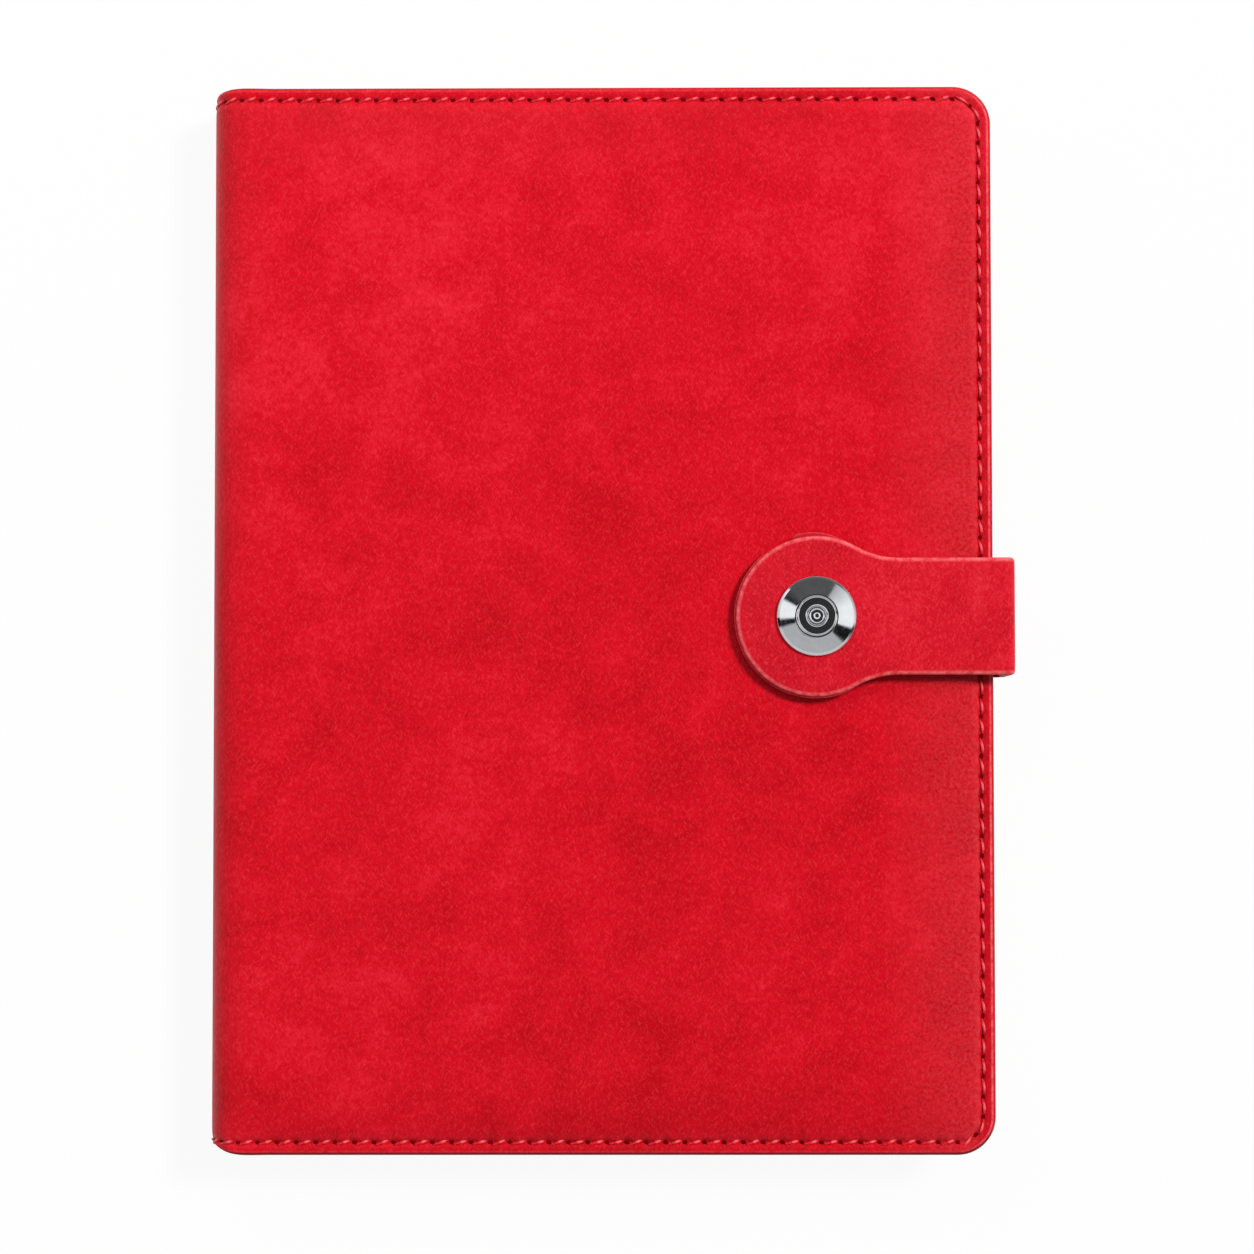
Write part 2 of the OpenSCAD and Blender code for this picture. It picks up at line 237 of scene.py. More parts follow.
class Bench(NodeBench):
    """A material's node tree, with short calls for its patterns."""

    PREFIX = "ShaderNode"

    def __init__(self, name: str) -> None:
        """Start a material with its Principled shader.

        Args:
            name: The material's name.
        """
        self.material = bpy.data.materials.new(name)
        self.material.use_nodes = True
        super().__init__(self.material.node_tree)
        self.shader = self.tree.nodes["Principled BSDF"]

    def sheet_place(self) -> bpy.types.NodeSocket:
        """Read the place on the flat sheet, in metres, from the mesh."""
        return self.node("Attribute", attribute_name="flat_place").outputs["Vector"]

    def object_place(self) -> bpy.types.NodeSocket:
        """Read the place in the object's own frame."""
        return self.node("TexCoord").outputs["Object"]

    def amount(self, name: str) -> bpy.types.NodeSocket:
        """Read a number that the mesh keeps for each of its points."""
        return self.node("Attribute", attribute_name=name).outputs["Fac"]

    def clouds(self, place: bpy.types.NodeSocket, scale: float, detail: float = 3.0,
               rough: float = 0.55, warp: float = 0.0) -> bpy.types.NodeSocket:
        """Add a noise pattern.

        Args:
            place: Coordinates in metres.
            scale: Patches in a metre.
            detail: Octaves of finer patches.
            rough: Weight of the finer octaves.
            warp: How far the patches are pulled about.

        Returns:
            The pattern, from 0 to 1.
        """
        return self.node("TexNoise", {"Vector": place, "Scale": scale, "Detail": detail,
                                      "Roughness": rough, "Distortion": warp}).outputs[0]

    def pebbles(self, place: bpy.types.NodeSocket, scale: float) -> bpy.types.NodeSocket:
        """Add a pattern of small rounded cells, with this many to the metre."""
        return self.node("TexVoronoi", {"Vector": place, "Scale": scale},
                         feature="SMOOTH_F1").outputs[0]

    def stretched(self, place: bpy.types.NodeSocket, turn: float, along: float,
                  across: float) -> bpy.types.NodeSocket:
        """Turn the sheet's coordinates and stretch them along one way.

        Args:
            place: Coordinates in metres.
            turn: Angle of the fibres in degrees.
            along: Patches in a metre along the fibres.
            across: Patches in a metre across the fibres.

        Returns:
            The new coordinates.
        """
        return self.node("Mapping", {"Vector": place, "Rotation": (0, 0, math.radians(turn)),
                                     "Scale": (1 / along, 1 / across, 1 / across)},
                         vector_type="TEXTURE").outputs[0]

    def maths(self, how: str, first: object, second: object = 0.0,
              third: object = 0.0) -> bpy.types.NodeSocket:
        """Join numbers by one operation."""
        return self.node("Math", {0: first, 1: second, 2: third}, operation=how).outputs[0]

    def weigh(self, *parts: tuple[bpy.types.NodeSocket, float]) -> bpy.types.NodeSocket:
        """Add up patterns.

        Args:
            *parts: Pairs of a pattern and its weight.

        Returns:
            The weighted sum.
        """
        total = self.maths("MULTIPLY", parts[0][0], parts[0][1])
        for pattern, weight in parts[1:]:
            total = self.maths("MULTIPLY_ADD", pattern, weight, total)
        return total

    def spread(self, value: object, low: float, high: float, to_low: float,
               to_high: float) -> bpy.types.NodeSocket:
        """Map one range of a number to another, held at both ends."""
        return self.node("MapRange", {"Value": value, "From Min": low, "From Max": high,
                                      "To Min": to_low, "To Max": to_high}).outputs[0]

    def ramp(self, value: object, *stops: tuple[float, Colour]) -> bpy.types.NodeSocket:
        """Turn a number into a colour.

        Args:
            value: The number, from 0 to 1.
            *stops: Pairs of a place and its colour.

        Returns:
            The colour.
        """
        made = self.node("ValToRGB", {0: value})
        line = made.color_ramp.elements
        while len(line) < len(stops):
            line.new(0.5)
        for element, (place, colour) in zip(line, stops):
            element.position = place
            element.color = (*colour, 1.0)
        return made.outputs[0]

    def blend_colour(self, amount: object, first: object, second: object,
                     how: str = "MIX") -> bpy.types.NodeSocket:
        """Mix two colours.

        Args:
            amount: Share of the second, from 0 to 1.
            first: A colour or its socket.
            second: A colour or its socket.
            how: The blend's type.

        Returns:
            The mixed colour.
        """
        pair = [c if isinstance(c, bpy.types.NodeSocket) else (*c, 1.0) for c in (first, second)]
        return self.node("Mix", {0: amount, 6: pair[0], 7: pair[1]}, data_type="RGBA",
                         blend_type=how).outputs[2]

    def relief(self, height: object, depth_mm: float, strength: float = 1.0,
               under: object = None) -> bpy.types.NodeSocket:
        """Add a bump.

        Args:
            height: The pattern of heights, from 0 to 1.
            depth_mm: Height of the pattern in millimetres.
            strength: Share of the bump that shows.
            under: A bump that this one lies on.

        Returns:
            The new normal.
        """
        inputs = {"Height": height, "Distance": depth_mm * MM, "Strength": strength}
        if under is not None:
            inputs["Normal"] = under
        return self.node("Bump", inputs).outputs[0]

    def done(self, **inputs: object) -> bpy.types.Material:
        """Feed the shader and hand the material over.

        Args:
            **inputs: The shader's inputs, with _ for a space.

        Returns:
            The finished material.
        """
        self.feed(self.shader, {key.replace("_", " "): value for key, value in inputs.items()})
        return self.material


@dataclass(frozen=True)
class MottledLeather:
    """Smooth two-tone leather: cloudy patches, short pale fibres and fine pores, with painted
    shade, painted sheen and painted highlights from the mesh's marks and the sheet's place.

    Scales are in patches to the metre, and places on the flat sheet are in metres.
    """

    name: str = "mottled_leather"
    deep: Colour = srgb(196, 5, 23)
    body: Colour = srgb(221, 11, 34)
    pale: Colour = srgb(240, 36, 57)
    hair: Colour = srgb(241, 72, 76)
    # Pale speckle along the fore-edge: dirt specks with a painted sheen where the padding slopes
    # away.
    dust_and_sheen: Colour = srgb(238, 84, 92)
    # Deep tone for edges darkened by burnishing and for painted shade in the groove and on the rim.
    burnish_and_shade_tone: Colour = srgb(118, 2, 14)
    # Pale tones for cut edges, for the painted sheen on the strap's rounded edge and for the
    # painted highlight on the cover's lip.
    raw_and_sheen: Colour = srgb(240, 78, 86)
    edge: Colour = srgb(252, 116, 120)
    gloss: float = 0.46
    gleam: float = 0.15
    broad_scale: float = 19.0
    patch_scale: float = 85.0
    fleck_scale: float = 620.0
    worn_scale: float = 700.0
    pore_scale: float = 1250.0
    dust_sheen_scale: float = 1300.0
    fibre_turns: Pair = (62.0, 118.0)
    fibre_along: Pair = (900.0, 940.0)
    fibre_across: Pair = (2600.0, 2500.0)
    hairy: float = 0.32
    dust_and_sheen_share: float = 0.34
    dust_sheen_grows: Pair = (0.146, 0.164)
    dust_sheen_stops: Pair = (0.166, 0.167)
    # Painted shade: the leather darkens towards the tail's fore-edge corner.
    fade_up: Pair = (0.06, -0.112)
    fade_across: Pair = (0.05, 0.15)
    fade: Pair = (0.10, 0.24)
    burnish_and_shade_weight: float = 0.75
    grain_mm: float = 0.10

    def build(self) -> bpy.types.Material:
        """Make the leather's material.

        Returns:
            The material.
        """
        b = Bench(self.name)
        place = b.sheet_place()
        across, up, _ = b.node("SeparateXYZ", {0: place}).outputs
        broad = b.clouds(place, self.broad_scale, 2.0, 0.5, 0.4)
        patch = b.clouds(place, self.patch_scale, 4.0, 0.58, 0.6)
        fleck = b.clouds(place, self.fleck_scale, 4.0, 0.7, 0.3)
        ways = zip(self.fibre_turns, self.fibre_along, self.fibre_across)
        fibres = b.maths("MAXIMUM", *(b.clouds(b.stretched(place, *way), 1.0, 2.0, 0.5, 0.5)
                                      for way in ways))
        tone = b.weigh((broad, 0.27), (patch, 0.38), (fleck, 0.40), (fibres, 0.13))
        # Take off the painted shade towards the tail's fore-edge corner.
        tone = b.maths("SUBTRACT", b.spread(tone, 0.42, 0.78, 0.0, 1.0), self.corner(b, across, up))
        colour = b.ramp(tone, (0.06, self.deep), (0.5, self.body), (0.94, self.pale))
        colour = b.blend_colour(b.spread(fibres, 0.55, 0.74, 0.0, self.hairy), colour, self.hair)
        # Speckle and painted sheen along the fore-edge.
        colour = b.blend_colour(self.dusting_and_sheen(b, place, across), colour, self.dust_and_sheen)
        # Burnishing and painted shade from the mesh mix in the deep tone.
        burnish_and_shade = b.maths("MULTIPLY", b.amount("burnish_and_shade"), self.burnish_and_shade_weight)
        colour = b.blend_colour(burnish_and_shade, colour, self.burnish_and_shade_tone)
        # Cut edges, painted sheen and painted highlights from the mesh, patchy along their length.
        rough_edge = b.clouds(place, self.worn_scale, 3.0, 0.6)
        raw_and_sheen = b.ramp(rough_edge, (0.35, self.raw_and_sheen), (0.65, self.edge))
        worn_and_lit = b.spread(rough_edge, 0.30, 0.55, 0.45, 1.0)
        colour = b.blend_colour(b.maths("MULTIPLY", b.amount("pale_edge"), worn_and_lit), colour, raw_and_sheen)
        pores = b.pebbles(place, self.pore_scale)
        grain = b.weigh((pores, 0.75), (fleck, 0.55), (fibres, 0.3))
        rough = b.spread(patch, 0.3, 0.7, self.gloss - 0.06, self.gloss + 0.08)
        return b.done(Base_Color=colour, Roughness=rough,
                      Normal=b.relief(grain, self.grain_mm, 0.55), Specular_IOR_Level=self.gleam)

    def corner(self, b: Bench, across: bpy.types.NodeSocket,
               up: bpy.types.NodeSocket) -> bpy.types.NodeSocket:
        """Paint shade that darkens the leather towards the tail, most of all at the fore-edge,
        where the light falls off.

        Args:
            b: The material's bench.
            across: Place across the sheet.
            up: Place up the sheet.

        Returns:
            What the tone loses.
        """
        return b.maths("MULTIPLY", b.spread(up, *self.fade_up, 0.0, 1.0),
                       b.spread(across, *self.fade_across, *self.fade))

    def dusting_and_sheen(self, b: Bench, place: bpy.types.NodeSocket,
                across: bpy.types.NodeSocket) -> bpy.types.NodeSocket:
        """Say how far a pale speckle of dirt, with a painted sheen, lies along the fore-edge.

        Args:
            b: The material's bench.
            place: Place on the sheet.
            across: Place across the sheet.

        Returns:
            The share of the pale speckle's colour.
        """
        specks = b.spread(b.clouds(place, self.dust_sheen_scale, 3.0, 0.65), 0.36, 0.68, 0.0, 1.0)
        dust_and_sheen = b.maths("MULTIPLY", b.spread(across, *self.dust_sheen_grows, 0.0, self.dust_and_sheen_share), specks)
        return b.maths("MULTIPLY", dust_and_sheen, b.spread(across, *self.dust_sheen_stops, 1.0, 0.0))


@dataclass(frozen=True)
class PlainLeather:
    """Matt pebbled lining leather in one deep tone."""

    name: str = "lining_leather"
    body: Colour = srgb(128, 14, 26)
    gloss: float = 0.62
    pebble_scale: float = 900.0
    patch_scale: float = 60.0

    def build(self) -> bpy.types.Material:
        """Make the lining's material.

        Returns:
            The material.
        """
        b = Bench(self.name)
        place = b.sheet_place()
        pebble = b.pebbles(place, self.pebble_scale)
        patch = b.clouds(place, self.patch_scale, 4.0, 0.6)
        tone = b.weigh((patch, 0.7), (pebble, 0.35))
        colour = b.ramp(tone, (0.3, shaded(self.body, 0.74)), (0.75, shaded(self.body, 1.24)))
        rough = b.spread(patch, 0.3, 0.7, self.gloss - 0.05, self.gloss + 0.06)
        return b.done(Base_Color=colour, Roughness=rough, Normal=b.relief(pebble, 0.08, 0.6))


@dataclass(frozen=True)
class Thread:
    """Two-ply polyester thread, a little shiny, with a painted highlight on each stitch where it
    faces the light.
    """

    name: str = "stitch_thread"
    # Colour of the painted highlight on each stitch.
    worn_and_lit: Colour = srgb(255, 104, 112)
    light: Colour = srgb(238, 30, 52)
    dark: Colour = srgb(190, 2, 24)
    ply_scale: float = 700.0
    fuzz_scale: float = 1500.0

    def build(self) -> bpy.types.Material:
        """Make the thread's material.

        Returns:
            The material.
        """
        b = Bench(self.name)
        place = b.object_place()
        ply = b.node("TexWave", {"Vector": place, "Scale": self.ply_scale, "Distortion": 1.5,
                                 "Detail": 1.0}, bands_direction="DIAGONAL").outputs[1]
        fuzz = b.clouds(place, self.fuzz_scale, 2.0)
        tone = b.weigh((ply, 0.55), (fuzz, 0.5))
        colour = b.ramp(tone, (0.15, self.dark), (0.75, self.light))
        # Painted highlight where each stitch faces the light, a little uneven.
        highlighted = b.weigh((b.amount("highlighted"), 1.0), (fuzz, 0.3))
        colour = b.blend_colour(b.spread(highlighted, 0.40, 0.95, 0.0, 0.95), colour, self.worn_and_lit)
        return b.done(Base_Color=colour, Roughness=0.40, Normal=b.relief(ply, 0.05, 0.6),
                      Specular_IOR_Level=0.5)


@dataclass(frozen=True)
class NeedleHole:
    """The shaded inside of a needle hole."""

    name: str = "needle_hole"
    dark: Colour = srgb(88, 0, 8)
    light: Colour = srgb(120, 2, 12)
    fuzz_scale: float = 1200.0

    def build(self) -> bpy.types.Material:
        """Make the hole's material.

        Returns:
            The material.
        """
        b = Bench(self.name)
        tone = b.clouds(b.object_place(), self.fuzz_scale, 2.0)
        return b.done(Base_Color=b.ramp(tone, (0.3, self.dark), (0.7, self.light)), Roughness=0.9,
                      Specular_IOR_Level=0.05)


@dataclass(frozen=True)
class PolishedSteel:
    """Chromed steel with faint wear."""

    name: str = "snap_chrome"
    tint: Colour = (0.90, 0.93, 0.96)
    gloss: float = 0.05
    wear_scale: float = 500.0
    fine_scale: float = 3500.0

    def build(self) -> bpy.types.Material:
        """Make the metal's material.

        Returns:
            The material.
        """
        b = Bench(self.name)
        place = b.object_place()
        wear = b.clouds(place, self.wear_scale, 4.0, 0.6)
        fine = b.clouds(place, self.fine_scale, 2.0, 0.5)
        colour = b.ramp(wear, (0.3, shaded(self.tint, 0.88)), (0.7, self.tint))
        rough = b.spread(wear, 0.3, 0.7, self.gloss - 0.02, self.gloss + 0.04)
        return b.done(Base_Color=colour, Metallic=1.0, Roughness=rough,
                      Normal=b.relief(fine, 0.006, 0.2))


@dataclass(frozen=True)
class PagePaper:
    """Uncoated paper; on the edges of the block the leaves show as fine lines."""

    name: str = "page_paper"
    body: Colour = srgb(240, 233, 214)
    leaf_scale: Point = (12.0, 12.0, 9000.0)
    pulp_scale: float = 900.0

    def build(self) -> bpy.types.Material:
        """Make the paper's material.

        Returns:
            The material.
        """
        b = Bench(self.name)
        place = b.object_place()
        layers = b.node("Mapping", {"Vector": place, "Scale": self.leaf_scale}).outputs[0]
        leaves = b.clouds(layers, 1.0, 2.0, 0.6)
        pulp = b.clouds(place, self.pulp_scale, 3.0, 0.6)
        facing = b.node("SeparateXYZ", {0: b.node("TexCoord").outputs["Normal"]}).outputs[2]
        flat = b.spread(b.maths("ABSOLUTE", facing), 0.4, 0.8, 0.0, 1.0)
        cut = b.weigh((leaves, 0.85), (pulp, 0.2))
        edge = b.ramp(cut, (0.34, shaded(self.body, 0.70)), (0.60, self.body))
        page = b.ramp(pulp, (0.35, shaded(self.body, 0.94)), (0.6, self.body))
        return b.done(Base_Color=b.blend_colour(flat, edge, page), Roughness=0.85,
                      Normal=b.relief(pulp, 0.03, 0.4), Specular_IOR_Level=0.2)


@dataclass(frozen=True)
class PulpBoard:
    """Pressed pulp, as in a card or a cover board."""

    name: str
    body: Colour
    fibre_turn: float = 20.0
    fibre_scale: Pair = (300.0, 900.0)
    speck_scale: float = 1100.0

    def build(self) -> bpy.types.Material:
        """Make the board's material.

        Returns:
            The material.
        """
        b = Bench(self.name)
        place = b.object_place()
        fibres = b.clouds(b.stretched(place, self.fibre_turn, *self.fibre_scale), 1.0, 3.0, 0.6)
        specks = b.clouds(place, self.speck_scale, 2.0, 0.5)
        tone = b.weigh((fibres, 0.65), (specks, 0.4))
        colour = b.ramp(tone, (0.35, shaded(self.body, 0.72)), (0.65, self.body))
        return b.done(Base_Color=colour, Roughness=0.82, Normal=b.relief(tone, 0.05, 0.4),
                      Specular_IOR_Level=0.2)


@dataclass(frozen=True)
class BackingCloth:
    """Open-weave cloth glued over the folds of the sections."""

    name: str = "backing_cloth"
    body: Colour = srgb(232, 230, 224)
    weave_scale: float = 330.0

    def build(self) -> bpy.types.Material:
        """Make the cloth's material.

        Returns:
            The material.
        """
        b = Bench(self.name)
        place = b.object_place()
        warp, weft = (b.node("TexWave", {"Vector": place, "Scale": self.weave_scale},
                             bands_direction=way).outputs[1] for way in ("Y", "Z"))
        weave = b.maths("MAXIMUM", warp, weft)
        colour = b.ramp(weave, (0.1, shaded(self.body, 0.6)), (0.7, self.body))
        return b.done(Base_Color=colour, Roughness=0.9, Normal=b.relief(weave, 0.12, 0.7),
                      Specular_IOR_Level=0.2)


@dataclass
class Finishes:
    """Every finish of the notebook, each made once."""

    cover: bpy.types.Material
    strap: bpy.types.Material
    lining: bpy.types.Material
    thread: bpy.types.Material
    hole: bpy.types.Material
    metal: bpy.types.Material
    paper: bpy.types.Material
    card: bpy.types.Material
    board: bpy.types.Material
    cloth: bpy.types.Material

    @classmethod
    def make(cls) -> "Finishes":
        """Build all the materials.

        Returns:
            The set of finishes.
        """
        strap = MottledLeather(name="strap_leather", deep=srgb(194, 12, 30), body=srgb(219, 20, 41),
                               pale=srgb(238, 46, 64), hairy=0.48)
        return cls(cover=MottledLeather().build(), strap=strap.build(),
                   lining=PlainLeather().build(), thread=Thread().build(),
                   hole=NeedleHole().build(), metal=PolishedSteel().build(),
                   paper=PagePaper().build(),
                   card=PulpBoard("insert_card", srgb(206, 180, 138)).build(),
                   board=PulpBoard("grey_board", srgb(150, 138, 118)).build(),
                   cloth=BackingCloth().build())


class Draft:
    """A mesh in the making, in millimetres, with the numbers that its finish reads."""

    def __init__(self) -> None:
        """Start with no points."""
        self.points: list[Point] = []
        self.flat: list[Point] = []
        self.burnish_and_shade: list[float] = []
        self.cut: list[float] = []
        self.faces: list[list[int]] = []

    def add(self, place: Sequence[float], flat: Sequence[float] = (0, 0, 0), burnish_and_shade: float = 0.0,
            cut: float = 0.0) -> int:
        """Add a point.

        Args:
            place: Its place in millimetres.
            flat: Its place on the sheet laid flat, in millimetres.
            burnish_and_shade: How far the leather is darkened there, from 0 to 1, by burnishing and
                by painted shade.
            cut: How far a pale cut edge, painted sheen and painted highlights show there, from 0 to
                1.

        Returns:
            The point's number.
        """
        self.points.append(tuple(place))
        self.flat.append(tuple(flat))
        self.burnish_and_shade.append(burnish_and_shade)
        self.cut.append(cut)
        return len(self.points) - 1

    def strip(self, first: Sequence[int], second: Sequence[int]) -> None:
        """Join two rows; where one row has some times the steps, several share a face.

        Args:
            first: Point numbers of one row.
            second: Point numbers of the next.
        """
        many = (len(first) - 1) // (len(second) - 1)
        if len(second) > len(first):
            self.strip(second, first)
            return
        for k in range(len(second) - 1):
            self.faces.append([*first[k * many:(k + 1) * many + 1], second[k + 1], second[k]])

    def ring_strip(self, first: Sequence[int], second: Sequence[int]) -> None:
        """Join two closed rows of the same length."""
        self.strip([*first, first[0]], [*second, second[0]])

    def make(self, name: str, material: bpy.types.Material, crisp: float) -> bpy.types.Object:
        """Turn the draft into an object with outward faces and smooth shading.

        Args:
            name: The piece's name.
            material: Its finish.
            crisp: Edges sharper than this stay crisp, in degrees.

        Returns:
            The new object, at the origin.
        """
        mesh = bpy.data.meshes.new(name)
        mesh.from_pydata([tuple(v * MM for v in p) for p in self.points], [], self.faces)
        place = mesh.attributes.new("flat_place", "FLOAT_VECTOR", "POINT")
        place.data.foreach_set("vector", [v * MM for p in self.flat for v in p])
        for label, values in (("burnish_and_shade", self.burnish_and_shade), ("pale_edge", self.cut)):
            mesh.attributes.new(label, "FLOAT", "POINT").data.foreach_set("value", values)
        face_outward(mesh)
        mesh.shade_smooth()
        mesh.set_sharp_from_angle(angle=math.radians(crisp))
        mesh.materials.append(material)
        return put(name, mesh)


@dataclass(frozen=True)
class CoverSizes:
    """Sizes of the closed cover, read from the frame.

    Attributes:
        x_left: The spine's outermost line.
        x_fore: The fore-edge.
        half_h: Half the height.
        total_t: Thickness over both covers.
        corner_r: Radius of the outer corners.
        fullness: Power that squares the spine's round; 1 is a half circle.
        stitch_in: Distance of the stitches from the edge.
        pitch_ends: Length of a stitch along head and tail.
        pitch_fore: Length of a stitch along the fore-edge.
        head_pinch: How far the lip is drawn in at the spine's head.
        tail_pinch: How far the lip is drawn in at the spine's tail.
    """

    x_left: float
    x_fore: float
    half_h: float
    total_t: float
    corner_r: float = 8.0
    fullness: float = 0.77
    stitch_in: float = 2.65
    pitch_ends: float = 4.05
    pitch_fore: float = 4.2
    head_pinch: float = 0.6
    tail_pinch: float = 2.6

    @classmethod
    def from_frame(cls) -> "CoverSizes":
        """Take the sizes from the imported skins."""
        left, high = box_mm("spine_upper_skin")[0].x, box_mm("front_skin")[1]
        return cls(x_left=left, x_fore=high.x, half_h=high.y, total_t=high.z)

    @property
    def spine_r(self) -> float:
        """Outer radius of the half-round spine."""
        return self.total_t / 2

    @property
    def fold_x(self) -> float:
        """Where the spine's round ends and the flat cover begins."""
        return self.x_left + self.spine_r

    @property
    def arc(self) -> float:
        """Length of a quarter of the spine's round."""
        return math.pi / 2 * self.spine_r

    @property
    def width(self) -> float:
        """Width of the flat sheet, from the spine's middle line to the fore-edge."""
        return self.arc + self.x_fore - self.fold_x


@dataclass(frozen=True)
class Row:
    """One line that follows a sheet's edge.

    Attributes:
        inset: Distance from the sheet's edge.
        panel: Height on the cover, from its highest face.
        spine: Height on the spine.
        pucker: How much lower it lies at a needle hole.
        burnish_and_shade: How far the leather is darkened, from 0 to 1: edges darkened by
            burnishing, with painted shade where the padding rolls into the groove, round the needle
            holes and on the rim.
        pull: How far it is drawn outward between needle holes.
        painted_highlight: How far a painted highlight lightens the leather, from 0 to 1, on the
            lip's rounded edge and the padding's shoulder.
        tail: How much darker it is along the tail: a painted shadow line on the rim.
    """

    inset: float
    panel: float
    spine: float
    pucker: float = 0.0
    burnish_and_shade: float = 0.0
    pull: float = 0.0
    painted_highlight: float = 0.0
    tail: float = 0.0


@dataclass
class CoverSheet:
    """A closed leather sheet over one cover and its quarter of the spine.

    The rows run from the middle of one face, over the edge, to the middle of
    the other. Each row follows the head, the fore-edge and the tail.

    Attributes:
        sizes: The cover's sizes.
        side: Which cover it is.
        rows: The sheet's rows.
        start: Distance of its first points from the spine's middle line.
        step: Where the rows ease from spine to cover, from the fold.
        wave: Depth of the padding's waves.
        wave_scale: Waves in a millimetre.
        wave_seed: Where the waves are cut from the noise.
        fine_in: Rows up to this inset are fine.
        fineness: Points of a fine row for each point of a plain one.
        along: Points along the head and the tail.
        around: Points round an outer corner.
        across: Points along the fore-edge.
        least_r: Smallest radius of a row's outer corner.
        pinch_power: How fast the lip's pinch fades from the spine to the cover.
        lip: Rows within this inset have no waves.
        wave_grows: Distance past the fold over which the waves set in.
        fore_shade: Distances from the fore-edge between which the darkening, burnishing and painted
            shade, grows to full.
        fore_lip: Distances from a row's own line between which its fore-edge marks set in: the full
            painted highlight, and the painted shade kept between needle holes.
        tail_shadow_band: Distances from the tail between which its painted shadow line sets in.
        plain_shade: Share of the darkening far from the fore-edge.
        plain_highlight: Share of the painted highlight away from the fore-edge.
        stitch_clear: Share of the darkening, painted shade round the needle holes, that is gone
            half-way between them.
        apart: Distance between the two covers' patterns.
        tongue: Reach of a tongue, from the spine's middle line.
        tongue_h: Heights of a tongue's faces.
        tongue_in: Insets of a tongue's ends.
    """

    sizes: CoverSizes
    side: Side
    rows: Sequence[Row]
    start: float = 0.0
    step: Pair = (-7.0, 3.0)
    wave: float = 0.0
    wave_scale: float = 0.045
    wave_seed: float = 3.7
    fine_in: float = 20.0
    fineness: int = 3
    along: int = 82
    around: int = 7
    across: int = 105
    least_r: float = 1.5
    pinch_power: float = 1.5
    lip: float = 3.0
    wave_grows: float = 20.0
    fore_shade: Pair = (26.0, 6.0)
    fore_lip: Pair = (5.0, 1.0)
    tail_shadow_band: Pair = (6.0, 3.0)
    plain_shade: float = 0.6
    plain_highlight: float = 0.25
    stitch_clear: float = 0.6
    apart: float = 400.0
    tongue: Pair = (-1.25, 0.9)
    tongue_h: Pair = (-0.88, -1.16)
    tongue_in: Pair = (0.4, 5.5)

    def outline(self, inset: float, fine: bool) -> list[Pair]:
        """Lay out a row on the flat sheet.

        Args:
            inset: Distance of the row from the sheet's edge.
            fine: Whether the row is fine.

        Returns:
            Pairs of the distance from the spine's middle line and the height on the cover.
        """
        many = self.fineness if fine else 1
        z = self.sizes
        r = max(z.corner_r - inset, self.least_r)
        cx, cy = z.width - inset - r, z.half_h - inset - r
        upper = [(self.start + (cx - self.start) * k / (self.along * many), cy + r)
                 for k in range(self.along * many)]
        turn = self.around * many
        angles = [math.pi / 2 * k / turn for k in range(turn)]
        upper += [(cx + r * math.sin(a), cy + r * math.cos(a)) for a in angles]
        fore = self.across * many
        right = [(cx + r, cy - 2 * cy * k / fore) for k in range(fore + 1)]
        head = [(s, y - z.head_pinch * self.pinch(s, inset)) for s, y in upper]
        tail = [(s, z.tail_pinch * self.pinch(s, inset) - y) for s, y in reversed(upper)]
        return head + right + tail

    def pinch(self, s: float, inset: float) -> float:
        """Say how far the lip is drawn in round the spine, from 0 to 1."""
        near_spine = (1 - eased(s, 0.0, self.sizes.arc)) ** self.pinch_power
        return max(1 - inset / self.sizes.stitch_in, 0.0) * near_spine

    def place(self, s: float, y: float, height: float) -> Point:
        """Wrap a point of the flat sheet round the spine and on to the cover.

        Args:
            s: Distance from the spine's middle line.
            y: Height on the cover.
            height: Distance outward from the cover's highest face.

        Returns:
            The place in millimetres.
        """
        z = self.sizes
        if s < z.arc:
            a = s / z.spine_r
            r = z.spine_r + height
            x = z.fold_x - r * math.cos(a) ** z.fullness
            up = r * math.copysign(abs(math.sin(a)) ** z.fullness, a)
        else:
            x, up = z.fold_x + s - z.arc, z.spine_r + height
        return x, y, z.total_t / 2 + self.side.value * up

    def lift(self, row: Row, s: float) -> float:
        """Ease a row's height from the spine to the cover.

        Args:
            row: The row.
            s: Distance from the spine's middle line.

        Returns:
            The row's height there.
        """
        share = eased(s - self.sizes.arc, *self.step)
        return row.spine + (row.panel - row.spine) * share

    def runs(self) -> list[tuple[Run, int, int, int]]:
        """Cut a fine row into its three runs of stitches.

        Returns:
            Each run with its first and last point and its count of stitches.
        """
        z = self.sizes
        line = self.outline(z.stitch_in, True)
        ends, last = self.along * self.fineness, len(line) - 1
        out = []
        for run, first, end in ((Run.HEAD, 0, ends), (Run.FORE, ends, last - ends),
                                (Run.TAIL, last - ends, last)):
            length = sum(math.dist(line[k], line[k + 1]) for k in range(first, end))
            pitch = z.pitch_fore if run is Run.FORE else z.pitch_ends
            out.append((run, first, end, round(length / pitch)))
        return out

    def beat(self) -> list[float]:
        """Find how near each point of a fine row is to a needle hole.

        Returns:
            A number for each point: 1 at a hole, and 0 half-way between holes.
        """
        line = self.outline(self.sizes.stitch_in, True)
        out = [1.0]
        for _, first, end, count in self.runs():
            steps = [math.dist(line[k], line[k + 1]) for k in range(first, end)]
            way = np.cumsum(steps) / sum(steps) * count
            out += [0.5 + 0.5 * math.cos(2 * math.pi * v) for v in way]
        return out

